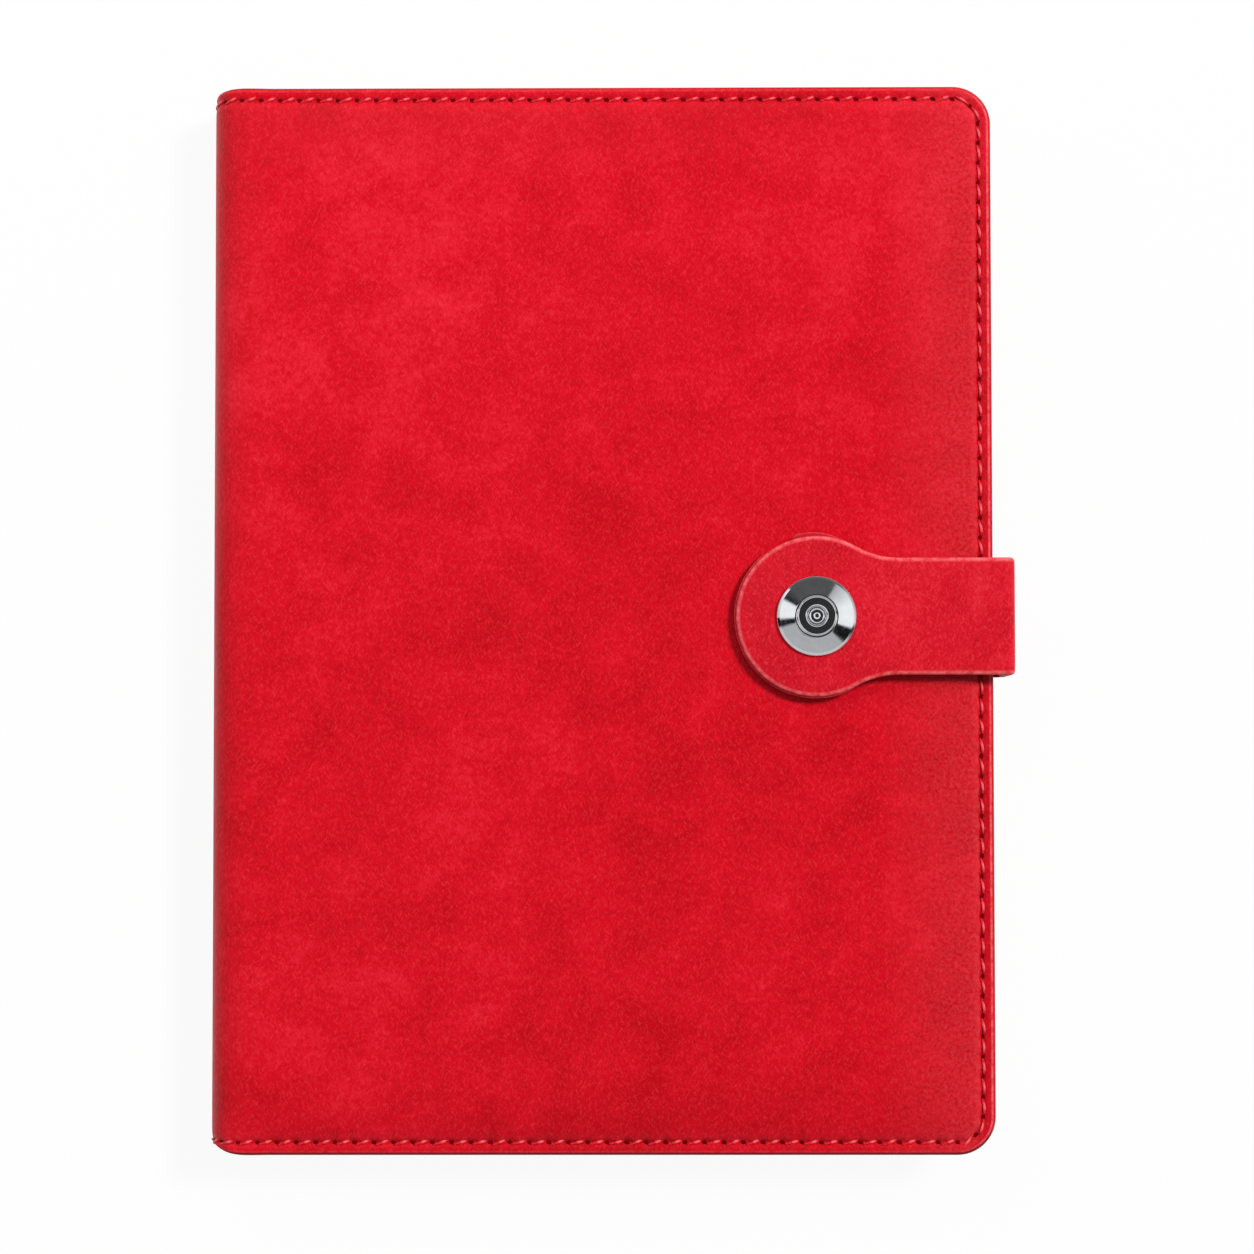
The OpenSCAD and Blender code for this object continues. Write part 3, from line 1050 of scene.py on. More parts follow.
    def draft(self) -> Draft:
        """Build the sheet's mesh.

        Returns:
            The draft, closed at the spine's middle line.
        """
        d = Draft()
        beat = self.beat()
        lines = []
        for row in self.rows:
            fine = row.inset <= self.fine_in
            line = []
            pulled = self.outline(row.inset - row.pull, fine)
            for k, (s, y) in enumerate(self.outline(row.inset, fine)):
                h = self.lift(row, s)
                between = 1 - beat[k] if fine else 0.0
                if row.pull:
                    s, y = (a + (b - a) * between for a, b in zip((s, y), pulled[k]))
                h += self.swell(row, s, y) - row.pucker * (1 - between)
                burnish_and_shade, painted_highlight = self.marks(row, s, y, between)
                line.append(d.add(self.place(s, y, h), self.flat(s, y), burnish_and_shade, painted_highlight))
            lines.append(line)
        for first, second in zip(lines, lines[1:]):
            d.strip(first, second)
        for line in (lines[0], lines[-1]):
            self.close_middle(d, line)
        d.faces.append([line[0] for line in lines])
        d.faces.append([line[-1] for line in lines])
        d.faces.append([lines[0][0], lines[0][-1], lines[-1][-1], lines[-1][0]])
        return d

    def flat(self, s: float, y: float) -> Point:
        """Give a point's place in the pattern of the leather."""
        return s, y, self.side.value * self.apart

    def swell(self, row: Row, s: float, y: float) -> float:
        """Let the padded leather lie in low waves.

        Args:
            row: The point's row.
            s: Distance from the spine's middle line.
            y: Height on the cover.

        Returns:
            How far the leather stands out.
        """
        past_fold = s - self.sizes.arc
        if not self.wave or row.inset <= self.lip or past_fold <= 0:
            return 0.0
        spot = (s * self.wave_scale, y * self.wave_scale, self.side.value * self.wave_seed)
        return self.wave * noise.noise(Vector(spot)) * eased(past_fold, 0.0, self.wave_grows)

    def marks(self, row: Row, s: float, y: float, between: float) -> Pair:
        """Say how the leather is darkened by burnishing and painted shade, and lightened by a
        painted highlight.

        Args:
            row: The point's row.
            s: Distance from the spine's middle line.
            y: Height on the cover.
            between: Nearness to the middle of a stitch, from 0 to 1.

        Returns:
            How far it is darkened, and how far the painted highlight lightens it.
        """
        z = self.sizes
        from_fore = z.width - s
        near_fore = eased(from_fore, *self.fore_shade)
        on_fore = eased(from_fore - row.inset, *self.fore_lip)
        in_tail_shadow = eased(z.half_h + y, *self.tail_shadow_band)
        # Painted shade: darker where the padding rolls into the groove and on the rim, more so near
        # the fore-edge and at the needle holes.
        burnish_and_shade = row.burnish_and_shade * (self.plain_shade + (1 - self.plain_shade) * near_fore)
        if row.pucker:
            burnish_and_shade *= 1 - self.stitch_clear * between * (1 - on_fore)
        # Painted highlight on the lip's rounded edge and the padding's shoulder, fullest along the
        # fore-edge.
        painted_highlight = row.painted_highlight * (self.plain_highlight + (1 - self.plain_highlight) * on_fore)
        # row.tail adds the painted shadow line along the tail's rim.
        return burnish_and_shade + row.tail * in_tail_shadow, painted_highlight

    def add_tongue(self, d: Draft) -> None:
        """Add a thin tongue in each lip that runs past the spine's middle line.

        The tongues lie inside the other cover's sheets, and keep the spine
        closed at head and tail when the cover lies open.

        Args:
            d: The draft.
        """
        z = self.sizes
        over, under = self.tongue_h
        far, near = self.tongue
        for sign, drawn in ((1, z.head_pinch), (-1, z.tail_pinch)):
            ends = []
            for inset in self.tongue_in:
                end = []
                for s, h in ((far, over), (near, over), (near, under), (far, under)):
                    y = sign * (z.half_h - inset - drawn * self.pinch(s, inset))
                    end.append(d.add(self.place(s, y, h), self.flat(s, y)))
                ends.append(end)
            d.ring_strip(*ends)
            d.faces += ends

    def close_middle(self, d: Draft, line: list[int]) -> None:
        """Fill the middle of a face, inside its last row.

        Args:
            d: The draft.
            line: Point numbers of that row.
        """
        last = len(line) - 1
        turns = self.along + self.around
        for k in range(turns - 1):
            d.faces.append([line[k], line[k + 1], line[last - k - 1], line[last - k]])
        d.faces.append(line[turns - 1:last - turns + 2])


def padded_rows() -> list[Row]:
    """Give the rows of the padded outer leather.

    Returns:
        The rows, from the outer face over the lip to the inside.
    """
    far = [Row(d, 0.0, 0.0) for d in (106, 94, 82, 70, 58, 46, 36, 28, 23)]
    # The crown darkens towards the groove: painted shade of the padding's roll.
    crown = [Row(19.5, 0.0, 0.0), Row(16, -0.02, 0.0, burnish_and_shade=0.02),
             Row(13, -0.06, 0.0, burnish_and_shade=0.05), Row(10.5, -0.12, 0.0, burnish_and_shade=0.09),
             Row(8.5, -0.20, 0.0, burnish_and_shade=0.12),
             Row(6.8, -0.31, 0.0, burnish_and_shade=0.15), Row(5.6, -0.44, -0.01, burnish_and_shade=0.15),
             # rub on these rows: painted highlight along the padding's shoulder.
             Row(4.8, -0.58, -0.02, 0.01, 0.14, 0.05),
             Row(4.25, -0.73, -0.05, 0.03, 0.11, 0.12, 0.05),
             Row(3.85, -0.90, -0.10, 0.06, 0.08, 0.20, 0.12),
             Row(3.5, -1.10, -0.18, 0.10, 0.08, 0.26, 0.18),
             Row(3.2, -1.34, -0.30, 0.14, 0.20, 0.26), Row(2.93, -1.52, -0.42, 0.16, 0.32, 0.12)]
    # Darkening at the groove is painted shade round the stitches; at the rim it is burnishing with
    # painted shade.
    seam = [Row(2.65, -1.58, -0.48, 0.16, 0.34), Row(2.4, -1.50, -0.40, 0.14, 0.30),
            Row(2.12, -1.34, -0.27, 0.10, 0.20), Row(1.8, -1.20, -0.17, 0.07, 0.14),
            Row(1.4, -1.14, -0.12, 0.05, 0.12), Row(1.05, -1.16, -0.13, 0.03, 0.10),
            # rub on the lip: painted highlight line on its rounded edge.
            Row(0.84, -1.20, -0.17, painted_highlight=0.74), Row(0.62, -1.29, -0.24, painted_highlight=0.78, tail=0.3),
            # tail: painted shadow line along the tail's rim.
            Row(0.44, -1.39, -0.31, burnish_and_shade=0.16, painted_highlight=0.08, tail=1.1),
            Row(0.26, -1.53, -0.41, burnish_and_shade=0.40, tail=0.9),
            Row(0.09, -1.76, -0.60, burnish_and_shade=0.55, tail=0.8),
            Row(0.0, -2.05, -0.80, burnish_and_shade=0.6, tail=0.8)]
    hem = [Row(0.07, -2.35, -1.0, burnish_and_shade=0.6, tail=0.8),
           Row(0.28, -2.62, -1.18, burnish_and_shade=0.6, tail=0.8),
           Row(0.7, -2.78, -1.26), Row(1.4, -2.8, -1.28), Row(4.3, -2.8, -1.28),
           Row(4.4, -1.4, -0.8), Row(19.0, -1.4, -0.8)]
    return far + crown + seam + hem + [Row(d, -1.4, -0.8) for d in (28, 58, 94, 106)]


def lining_rows() -> list[Row]:
    """Give the rows of the lining.

    Returns:
        The rows, from the glued face over the edge to the face that shows.
    """
    glued = [Row(d, -2.82, -0.82) for d in (106, 70, 36, 23, 12, 3.0, 1.4)]
    edge = [Row(0.95, -2.84, -0.84), Row(0.82, -2.95, -0.95), Row(0.80, -3.1, -1.1),
            Row(0.86, -3.25, -1.25), Row(1.05, -3.36, -1.36), Row(1.5, -3.4, -1.4),
            Row(2.2, -3.38, -1.38), Row(2.45, -3.3, -1.3), Row(2.65, -3.26, -1.26),
            Row(2.85, -3.3, -1.3), Row(3.1, -3.38, -1.38), Row(3.6, -3.4, -1.4)]
    return glued + edge + [Row(d, -3.4, -1.4) for d in (12, 19.5, 23, 36, 70, 106)]


def sleeve_rows() -> list[Row]:
    """Give the rows of a sleeve.

    Returns:
        The rows, from the inside over the sewn hem to the face that shows.
    """
    inside = [Row(d, -3.82, -3.82) for d in (54, 36, 23, 12, 5.6)]
    hem = [Row(d, h, h) for d, h in
           ((4.5, -3.80), (4.2, -3.44), (1.6, -3.42), (1.3, -3.5), (1.2, -3.7), (1.2, -3.95),
            (1.3, -4.18), (1.6, -4.28), (2.2, -4.27), (2.45, -4.2), (2.65, -4.16), (2.85, -4.2),
            (3.1, -4.27), (3.6, -4.3))]
    return inside + hem + [Row(d, -4.3, -4.3) for d in (12, 19.5, 23, 36, 54)]


class StitchLayer:
    """Lays thread or needle holes along a seam, with a Geometry Nodes tree for each.

    Attributes:
        STRAY: How far a stitch may turn from its slant, in radians.
        SEED: Seed of the first run's strays.
        HOLE_SHAPE: Stretch of a needle hole along, across and into the leather.
        HOLE_MESH: Segments and rings of a needle hole.
        STEPS: Points along a stitch.
        SIDES: Points round the thread.
        DIP: How far a stitch's ends dip, as a share of its rise.
        ARCH: How far its middle is drawn up, as a share of its rise.
    """

    STRAY = 0.09
    SEED = 11
    HOLE_SHAPE = (1.3, 1.05, 0.5)
    HOLE_MESH = (10, 6)
    STEPS = 7
    SIDES = 8
    DIP = 0.8
    ARCH = 1.5

    def __init__(self, thread: bpy.types.Material, hole: bpy.types.Material) -> None:
        """Keep the two finishes and build the two trees.

        Args:
            thread: Finish of the thread.
            hole: Finish of the needle holes.
        """
        self.thread, self.hole = thread, hole
        self.thread_tree = self.build_tree("seam_thread", thread, True)
        self.hole_tree = self.build_tree("seam_holes", hole, False)

    def build_tree(self, name: str, material: bpy.types.Material,
                   thread: bool) -> bpy.types.NodeTree:
        """Build the tree that sets one small shape at each stitch of a path.

        Args:
            name: The tree's name.
            material: The finish of what it lays.
            thread: Whether it lays thread, or else holes.

        Returns:
            The tree, with named inputs for its sizes.
        """
        tree = bpy.data.node_groups.new(name, "GeometryNodeTree")
        face = tree.interface
        face.new_socket("Geometry", in_out="INPUT", socket_type="NodeSocketGeometry")
        for label, kind in (("Count", "Int"), ("Length", "Float"), ("Radius", "Float"),
                            ("Slant", "Float"), ("Rise", "Float"), ("Bow", "Float"),
                            ("Highlight At", "Float"), ("Highlight Span", "Float"), ("Seed", "Int")):
            face.new_socket(label, in_out="INPUT", socket_type="NodeSocket" + kind)
        face.new_socket("Geometry", in_out="OUTPUT", socket_type="NodeSocketGeometry")
        bench = NodeBench(tree)
        add = bench.node
        source, sink = add("NodeGroupInput"), add("NodeGroupOutput")
        path = add("GeometryNodeMeshToCurve", {0: source.outputs["Geometry"]})
        spots = add("GeometryNodeResampleCurve", {"Curve": path.outputs[0],
                                                  "Count": source.outputs["Count"]})
        ahead = add("FunctionNodeAlignRotationToVector",
                    {"Vector": add("GeometryNodeInputTangent").outputs[0]}, axis="X")
        up = add("GeometryNodeInputNamedAttribute", {"Name": "up"}, data_type="FLOAT_VECTOR")
        stood = add("FunctionNodeAlignRotationToVector",
                    {"Rotation": ahead.outputs[0], "Vector": up.outputs[0]}, axis="Z",
                    pivot_axis="X")
        stray = add("FunctionNodeRandomValue", {2: -self.STRAY, 3: self.STRAY,
                                                "Seed": source.outputs["Seed"]}, data_type="FLOAT")
        angle = add("ShaderNodeMath", {0: source.outputs["Slant"], 1: stray.outputs[1]},
                    operation="ADD")
        slant = add("FunctionNodeAxisAngleToRotation", {"Axis": (0, 0, 1),
                                                        "Angle": angle.outputs[0]})
        turned = add("FunctionNodeRotateRotation", {0: stood.outputs[0], 1: slant.outputs[0]},
                     rotation_space="LOCAL")
        if thread:
            shape = self.thread_shape(bench, source)
        else:
            segments, rings = self.HOLE_MESH
            ball = add("GeometryNodeMeshUVSphere", {"Segments": segments, "Rings": rings,
                                                    "Radius": source.outputs["Radius"]})
            shape = add("GeometryNodeTransform", {0: ball.outputs[0], "Scale": self.HOLE_SHAPE})
        laid = add("GeometryNodeInstanceOnPoints", {"Points": spots.outputs[0],
                                                    "Instance": shape.outputs[0],
                                                    "Rotation": turned.outputs[0]})
        real = add("GeometryNodeRealizeInstances", {0: laid.outputs[0]})
        soft = add("GeometryNodeSetShadeSmooth", {0: real.outputs[0]})
        dressed = add("GeometryNodeSetMaterial", {0: soft.outputs[0], "Material": material})
        bench.feed(sink, {0: dressed.outputs[0]})
        return tree

    def thread_shape(self, bench: NodeBench, source: bpy.types.Node) -> bpy.types.Node:
        """Add the nodes of one stitch: a thread that dips into a hole at each end.

        Args:
            bench: The tree's bench.
            source: The tree's group input.

        Returns:
            The node that gives the stitch.
        """
        add = bench.node
        shares = (("Length", -0.5), ("Length", 0.5), ("Rise", -self.DIP), ("Rise", self.ARCH))
        back, front, dip, top = (add("ShaderNodeMath", {0: source.outputs[label], 1: share},
                                     operation="MULTIPLY").outputs[0] for label, share in shares)
        ends = [add("ShaderNodeCombineXYZ", {0: x, 2: dip}) for x in (back, front)]
        middle = add("ShaderNodeCombineXYZ", {1: source.outputs["Bow"], 2: top})
        line = add("GeometryNodeCurveQuadraticBezier",
                   {"Resolution": self.STEPS, "Start": ends[0].outputs[0],
                    "Middle": middle.outputs[0], "End": ends[1].outputs[0]})
        # Each point keeps how near it is to the stitch's painted highlight.
        way = add("GeometryNodeSplineParameter")
        off = add("ShaderNodeMath", {0: way.outputs["Factor"], 1: source.outputs["Highlight At"]},
                  operation="SUBTRACT")
        far = add("ShaderNodeMath", {0: off.outputs[0]}, operation="ABSOLUTE")
        fade = add("ShaderNodeMath", {0: far.outputs[0], 1: source.outputs["Highlight Span"]},
                   operation="DIVIDE")
        highlighted = add("ShaderNodeMath", {0: 1.0, 1: fade.outputs[0]}, operation="SUBTRACT")
        kept = add("GeometryNodeStoreNamedAttribute",
                   {"Geometry": line.outputs[0], "Name": "highlighted", "Value": highlighted.outputs[0]})
        ring = add("GeometryNodeCurvePrimitiveCircle", {"Resolution": self.SIDES,
                                                        "Radius": source.outputs["Radius"]})
        return add("GeometryNodeCurveToMesh", {0: kept.outputs[0], 1: ring.outputs[0],
                                               "Fill Caps": True})

    def lay(self, name: str, paths: Sequence["SeamPath"], thread: bool) -> bpy.types.Object:
        """Lay one seam's thread or holes and turn them into a plain mesh.

        Args:
            name: The piece's name.
            paths: The seam's runs.
            thread: Whether to lay thread, or else holes.

        Returns:
            One object with all the runs.
        """
        tree = self.thread_tree if thread else self.hole_tree
        keys = {i.name: i.identifier for i in tree.interface.items_tree if i.in_out == "INPUT"}
        points, faces, highlighted = [], [], []
        for number, path in enumerate(paths):
            carrier = path.carrier(name, thread)
            layer = carrier.modifiers.new("seam", "NODES")
            layer.node_group = tree
            for label, value in (*path.inputs(thread), ("Seed", self.SEED + number)):
                layer[keys[label]] = value
            ready = carrier.evaluated_get(bpy.context.evaluated_depsgraph_get())
            mesh = bpy.data.meshes.new_from_object(ready)
            faces += [[len(points) + k for k in face.vertices] for face in mesh.polygons]
            points += [tuple(point.co) for point in mesh.vertices]
            if thread:
                highlighted += [spot.value for spot in mesh.attributes["highlighted"].data]
            old = carrier.data
            bpy.data.objects.remove(carrier)
            bpy.data.meshes.remove(old)
            bpy.data.meshes.remove(mesh)
        whole = bpy.data.meshes.new(name)
        whole.from_pydata(points, [], faces)
        if thread:
            whole.attributes.new("highlighted", "FLOAT", "POINT").data.foreach_set("value", highlighted)
        face_outward(whole)
        whole.materials.append(self.thread if thread else self.hole)
        whole.shade_smooth()
        return put(name, whole)


@dataclass
class SeamPath:
    """One run of a seam: a line of points with the leather's outward direction at each.

    Attributes:
        run: Which edge it follows.
        points: The line's points.
        ups: Outward direction at each point.
        count: How many stitches it has.
        pitch: Length of a stitch with its gap.
        hole_r: Radius of a needle hole.
        rise: How high the thread stands on the leather.
        marks_each: Points of the carrier's line in each stitch.
    """

    run: Run
    points: list[Point]
    ups: list[Point]
    count: int
    pitch: float
    hole_r: float = 0.46
    rise: float = 0.30
    marks_each: int = 6

    @property
    def last_hole(self) -> int:
        """Count of holes at the run's end: none where the next run starts with that hole."""
        return 1 if self.run is Run.TAIL else 0

    def inputs(self, thread: bool) -> list[tuple[str, float]]:
        """List what the tree's inputs are set to.

        Args:
            thread: Whether it lays thread, or else holes.

        Returns:
            Pairs of an input's name and its value.
        """
        run = self.run
        return [("Count", self.count if thread else self.count + self.last_hole),
                ("Length", self.pitch * run.share * MM),
                ("Radius", (run.thread_r if thread else self.hole_r) * MM),
                ("Slant", math.radians(run.slant if thread else run.hole_slant)),
                ("Rise", self.rise * MM), ("Bow", run.bow * MM),
                ("Highlight At", run.highlight_at), ("Highlight Span", run.highlight_span)]

    def carrier(self, name: str, thread: bool) -> bpy.types.Object:
        """Make the line that the tree reads.

        Args:
            name: Name of the seam.
            thread: Whether the ends are half a stitch in, or else on the first and last holes.

        Returns:
            An object with a line of points.
        """
        line = np.array(self.points)
        ups = np.array(self.ups)
        steps = np.linalg.norm(np.diff(line, axis=0), axis=1)
        run = np.concatenate([[0.0], np.cumsum(steps)])
        pitch = run[-1] / self.count
        if thread:
            first, end = pitch / 2, run[-1] - pitch / 2
        else:
            first, end = 0, run[-1] if self.last_hole else run[-1] - pitch
        marks = np.linspace(first, end, self.marks_each * self.count)
        spots = np.stack([np.interp(marks, run, line[:, k]) for k in range(3)], axis=1) * MM
        turned = np.stack([np.interp(marks, run, ups[:, k]) for k in range(3)], axis=1)
        mesh = bpy.data.meshes.new(name + "_path")
        mesh.from_pydata([tuple(p) for p in spots], [(k, k + 1) for k in range(len(spots) - 1)], [])
        up = mesh.attributes.new("up", "FLOAT_VECTOR", "POINT")
        up.data.foreach_set("vector", turned.ravel())
        return put(name + "_path", mesh)


@dataclass
class Seam:
    """The stitches round one sheet: head, fore-edge and tail.

    Attributes:
        sheet: The sheet.
        row: The row of the sheet that they follow.
        outward: 1 where they lie on the cover's outer face, -1 on its inside.
        rise: How far they are lifted from the row.
    """

    sheet: CoverSheet
    row: Row
    outward: float = 1.0
    rise: float = 0.0

    def paths(self) -> list[SeamPath]:
        """Cut the seam's row into its three runs.

        Returns:
            The runs, from the spine along the head, down the fore-edge and back along the tail.
        """
        sheet, out = self.sheet, []
        line = sheet.outline(self.row.inset, True)
        for run, first, last, count in sheet.runs():
            points, ups = [], []
            for s, y in line[first:last + 1]:
                height = sheet.lift(self.row, s) + self.rise
                base, tip = (np.array(sheet.place(s, y, h)) for h in (height, height + 1))
                points.append(tuple(base))
                ups.append(tuple((tip - base) * self.outward))
            length = sum(math.dist(a, b) for a, b in zip(points, points[1:]))
            out.append(SeamPath(run, points, ups, count, length / count))
        return out


@dataclass
class Cover:
    """One cover: its padded leather, its lining with half the spine's, its sleeve and its seams.

    Attributes:
        side: Which cover it is.
        sizes: The cover's sizes.
        finishes: The notebook's finishes.
        roll: How far the rolling part of the spine reaches, across and up; not used.
        crisp: Edges sharper than this stay crisp, in degrees.
        front_wave: Depth of the waves in the front's padding.
        thread_rise: How far the thread stands above its groove.
        hole_rise: How far the needle holes stand above the groove.
        under_rise: How far the under thread stands above its groove.
    """

    side: Side
    sizes: CoverSizes
    finishes: Finishes
    roll: float = 8.8
    crisp: float = 65.0
    front_wave: float = 0.10
    thread_rise: float = 0.20
    hole_rise: float = -0.10
    under_rise: float = 0.05

    @property
    def body(self) -> str:
        """Name of the cover's body."""
        return "front_cover" if self.side is Side.FRONT else "back_cover"

    @property
    def spine(self) -> str:
        """Name of the body of the cover's quarter of the spine."""
        return "spine_upper" if self.side is Side.FRONT else "spine_lower"

    @property
    def word(self) -> str:
        """Word that starts the names of the cover's pieces."""
        return "front" if self.side is Side.FRONT else "back"

    def bend(self, piece: bpy.types.Object) -> None:
        """Bake a sheet's place into its mesh.

        Args:
            piece: The sheet.
        """
        self.spine
        self.body
        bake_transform(piece)

    def build(self, seams: StitchLayer) -> list[bpy.types.Object]:
        """Build and dress every soft piece of the cover.

        Args:
            seams: What lays the stitches.

        Returns:
            The cover's pieces.
        """
        return [*self.leather(seams), *self.lining(seams), self.sleeve()]

    def leather(self, seams: StitchLayer) -> list[bpy.types.Object]:
        """Make the padded outer leather and its stitches.

        Args:
            seams: What lays the stitches.

        Returns:
            The leather, its thread and its needle holes.
        """
        rows = padded_rows()
        wave = self.front_wave if self.side is Side.FRONT else 0.0
        sheet = CoverSheet(self.sizes, self.side, rows, wave=wave)
        skin = sheet.draft().make(f"{self.word}_leather", self.finishes.cover, self.crisp)
        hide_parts(f"{self.word}_skin", f"{self.spine}_skin", f"{self.word}_padding")
        groove = next(row for row in rows if row.inset == self.sizes.stitch_in)
        stitches = Seam(sheet, groove, rise=self.thread_rise)
        thread = seams.lay(f"{self.word}_thread", stitches.paths(), True)
        pricks = Seam(sheet, groove, rise=self.hole_rise)
        holes = seams.lay(f"{self.word}_needle_holes", pricks.paths(), False)
        for piece in (skin, thread, holes):
            self.bend(piece)
        return [skin, thread, holes]

    def lining(self, seams: StitchLayer) -> list[bpy.types.Object]:
        """Make the lining of the cover and of its quarter of the spine, with its under thread.

        Args:
            seams: What lays the stitches.

        Returns:
            The lining and its thread.
        """
        rows = lining_rows()
        sheet = CoverSheet(self.sizes, self.side, rows)
        draft = sheet.draft()
        sheet.add_tongue(draft)
        piece = draft.make(f"{self.word}_lining_leather", self.finishes.lining, self.crisp)
        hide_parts(f"{self.word}_lining", f"{self.spine}_lining")
        groove = next(row for row in rows if row.inset == self.sizes.stitch_in)
        stitches = Seam(sheet, groove, outward=-1.0, rise=self.under_rise)
        thread = seams.lay(f"{self.word}_under_thread", stitches.paths(), True)
        for made in (piece, thread):
            self.bend(made)
        return [piece, thread]

    def sleeve(self) -> bpy.types.Object:
        """Make the sleeve that holds a card of the insert.

        Returns:
            The sleeve.
        """
        z = self.sizes
        low = box_mm(f"{self.word}_sleeve")[0]
        sheet = CoverSheet(z, self.side, sleeve_rows(), start=z.arc + low.x - z.fold_x)
        piece = sheet.draft().make(f"{self.word}_sleeve_leather", self.finishes.lining, self.crisp)
        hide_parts(f"{self.word}_sleeve")
        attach(piece, self.body)
        return piece


@dataclass
class Strap:
    """The closing strap: a face layer and a lining layer that run from the back seam to the snap.

    Attributes:
        finishes: The notebook's finishes.
        snap_x: Place of the snap.
        top: Height of the tab's face.
        outer_x: Place of the outer face beside the fore-edge.
        half_w: Half the width of the band.
        layer: Thickness of a layer.
        head_r: Radius of the head.
        neck_r: Radius of the hollow between head and band.
        high_r: Outer radius of the upper bend.
        low_r: Outer radius of the lower bend.
        low_x: Place of the lower bend's centre.
        low_z: Height of the lower bend's centre.
        end_x: Where the sewn-in end stops.
        lining_past: How far the lining of the lower half runs past the lower bend's start.
        droop: How far the head's rim hangs down.
        flat_r: Radius round the snap within which the head stays flat.
        hang_over: Distances along the strap between which the head begins to hang.
        uneven: How far the tab's leather rises and falls.
        uneven_scale: Its waves in a millimetre.
        uneven_seed: Where its waves are cut from the noise.
        even_out: Distance before the upper bend over which the waves fade.
        lap: How far the lower half runs under the upper half.
        lap_sink: How far it is sunk there.
        peek_top: How far the lining shows beyond the face at the head's upper side.
        top_on: Angles round the head between which that begins, in degrees.
        top_off: Angles between which it ends.
        peek_left: How far it shows along the head's far side.
        left_on: Angles between which that begins.
        left_off: Angles between which it ends.
        raw_sheen_fades: Insets between which the face's pale cut edge, with a painted sheen on its
            rounded top, sets in.
        raw_cut: Share of it that is left on the cut itself.
        cut_in: Inset up to which a row counts as the cut.
        under_dark: How far the other rows are darkened.
        under_raw: How far the raw edge shows on them.
        under_fades: Insets between which it sets in there.
        apart: Places of the patterns of the lining and of the face.
        leg_steps: Points up to the upper bend, round it, and along to the hollow.
        neck_steps: Points along the hollow.
        head_steps: Points along half the head.
        band_steps: Points along the lower half.
        crisp: Edges sharper than this stay crisp, in degrees.
    """

    finishes: Finishes
    snap_x: float
    top: float
    outer_x: float
    half_w: float
    layer: float = 0.8
    head_r: float = 16.75
    neck_r: float = 18.0
    high_r: float = 2.2
    low_r: float = 3.5
    low_x: float = 80.7
    low_z: float = 5.5
    end_x: float = 68.0
    lining_past: float = 1.0
    droop: float = 0.9
    flat_r: float = 8.5
    hang_over: Pair = (4.0, -10.0)
    uneven: float = 0.05
    uneven_scale: float = 0.11
    uneven_seed: float = 5.0
    even_out: float = 6.0
    lap: float = 0.5
    lap_sink: float = 0.04
    peek_top: float = 0.85
    top_on: Pair = (62.0, 96.0)
    top_off: Pair = (107.0, 104.5)
    peek_left: float = 0.32
    left_on: Pair = (118.0, 140.0)
    left_off: Pair = (304.0, 282.0)
    raw_sheen_fades: Pair = (0.9, 0.5)
    raw_cut: float = 0.6
    cut_in: float = 0.2
    under_dark: float = 0.6
    under_raw: float = 0.5
    under_fades: Pair = (0.24, 0.10)
    apart: Pair = (900.0, 1100.0)
    leg_steps: tuple[int, int, int] = (8, 12, 14)
    neck_steps: int = 12
    head_steps: int = 56
    band_steps: int = 40
    crisp: float = 55.0

    @classmethod
    def from_frame(cls, finishes: Finishes) -> "Strap":
        """Take the strap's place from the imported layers.

        Args:
            finishes: The notebook's finishes.

        Returns:
            The strap.
        """
        low, high = box_mm("strap_tab_face")
        wrap_high = box_mm("strap_wrap_face")[1]
        return cls(finishes, snap_x=low.x + cls.head_r, top=high.z, outer_x=wrap_high.x,
                   half_w=wrap_high.y)

    @property
    def high_c(self) -> Pair:
        """Centre of the upper bend."""
        return self.outer_x - self.high_r, self.top - self.high_r

    @property
    def marks(self) -> tuple[float, float, float, float]:
        """Distances along the strap, from the snap, at which its bends begin and end.

        Returns:
            The start and end of the upper bend, then of the lower bend.
        """
        flat = self.high_c[0] - self.snap_x
        bend = flat + math.pi / 2 * (self.high_r - self.layer)
        wrap = bend + self.high_c[1] - self.low_z
        return flat, bend, wrap, wrap + math.pi / 2 * (self.low_r - self.layer)

    def place(self, u: float, y: float, height: float) -> Point:
        """Bend a point of the flat strap into place.

        Args:
            u: Distance along the strap from the snap.
            y: Distance from the strap's middle line.
            height: Distance outward from the seam between its layers.

        Returns:
            The place in millimetres.
        """
        flat, bend, wrap, low = self.marks
        if u <= flat:
            return self.snap_x + u, y, self.top - self.layer + height
        if u <= bend:
            a = (u - flat) / (self.high_r - self.layer)
            r = self.high_r - self.layer + height
            return self.high_c[0] + r * math.sin(a), y, self.high_c[1] + r * math.cos(a)
        if u <= wrap:
            return self.outer_x - self.layer + height, y, self.high_c[1] - (u - bend)
        r = self.low_r - self.layer + height
        if u <= low:
            a = (u - wrap) / (self.low_r - self.layer)
            return self.low_x + r * math.cos(a), y, self.low_z - r * math.sin(a)
        return self.low_x - (u - low), y, self.low_z - r

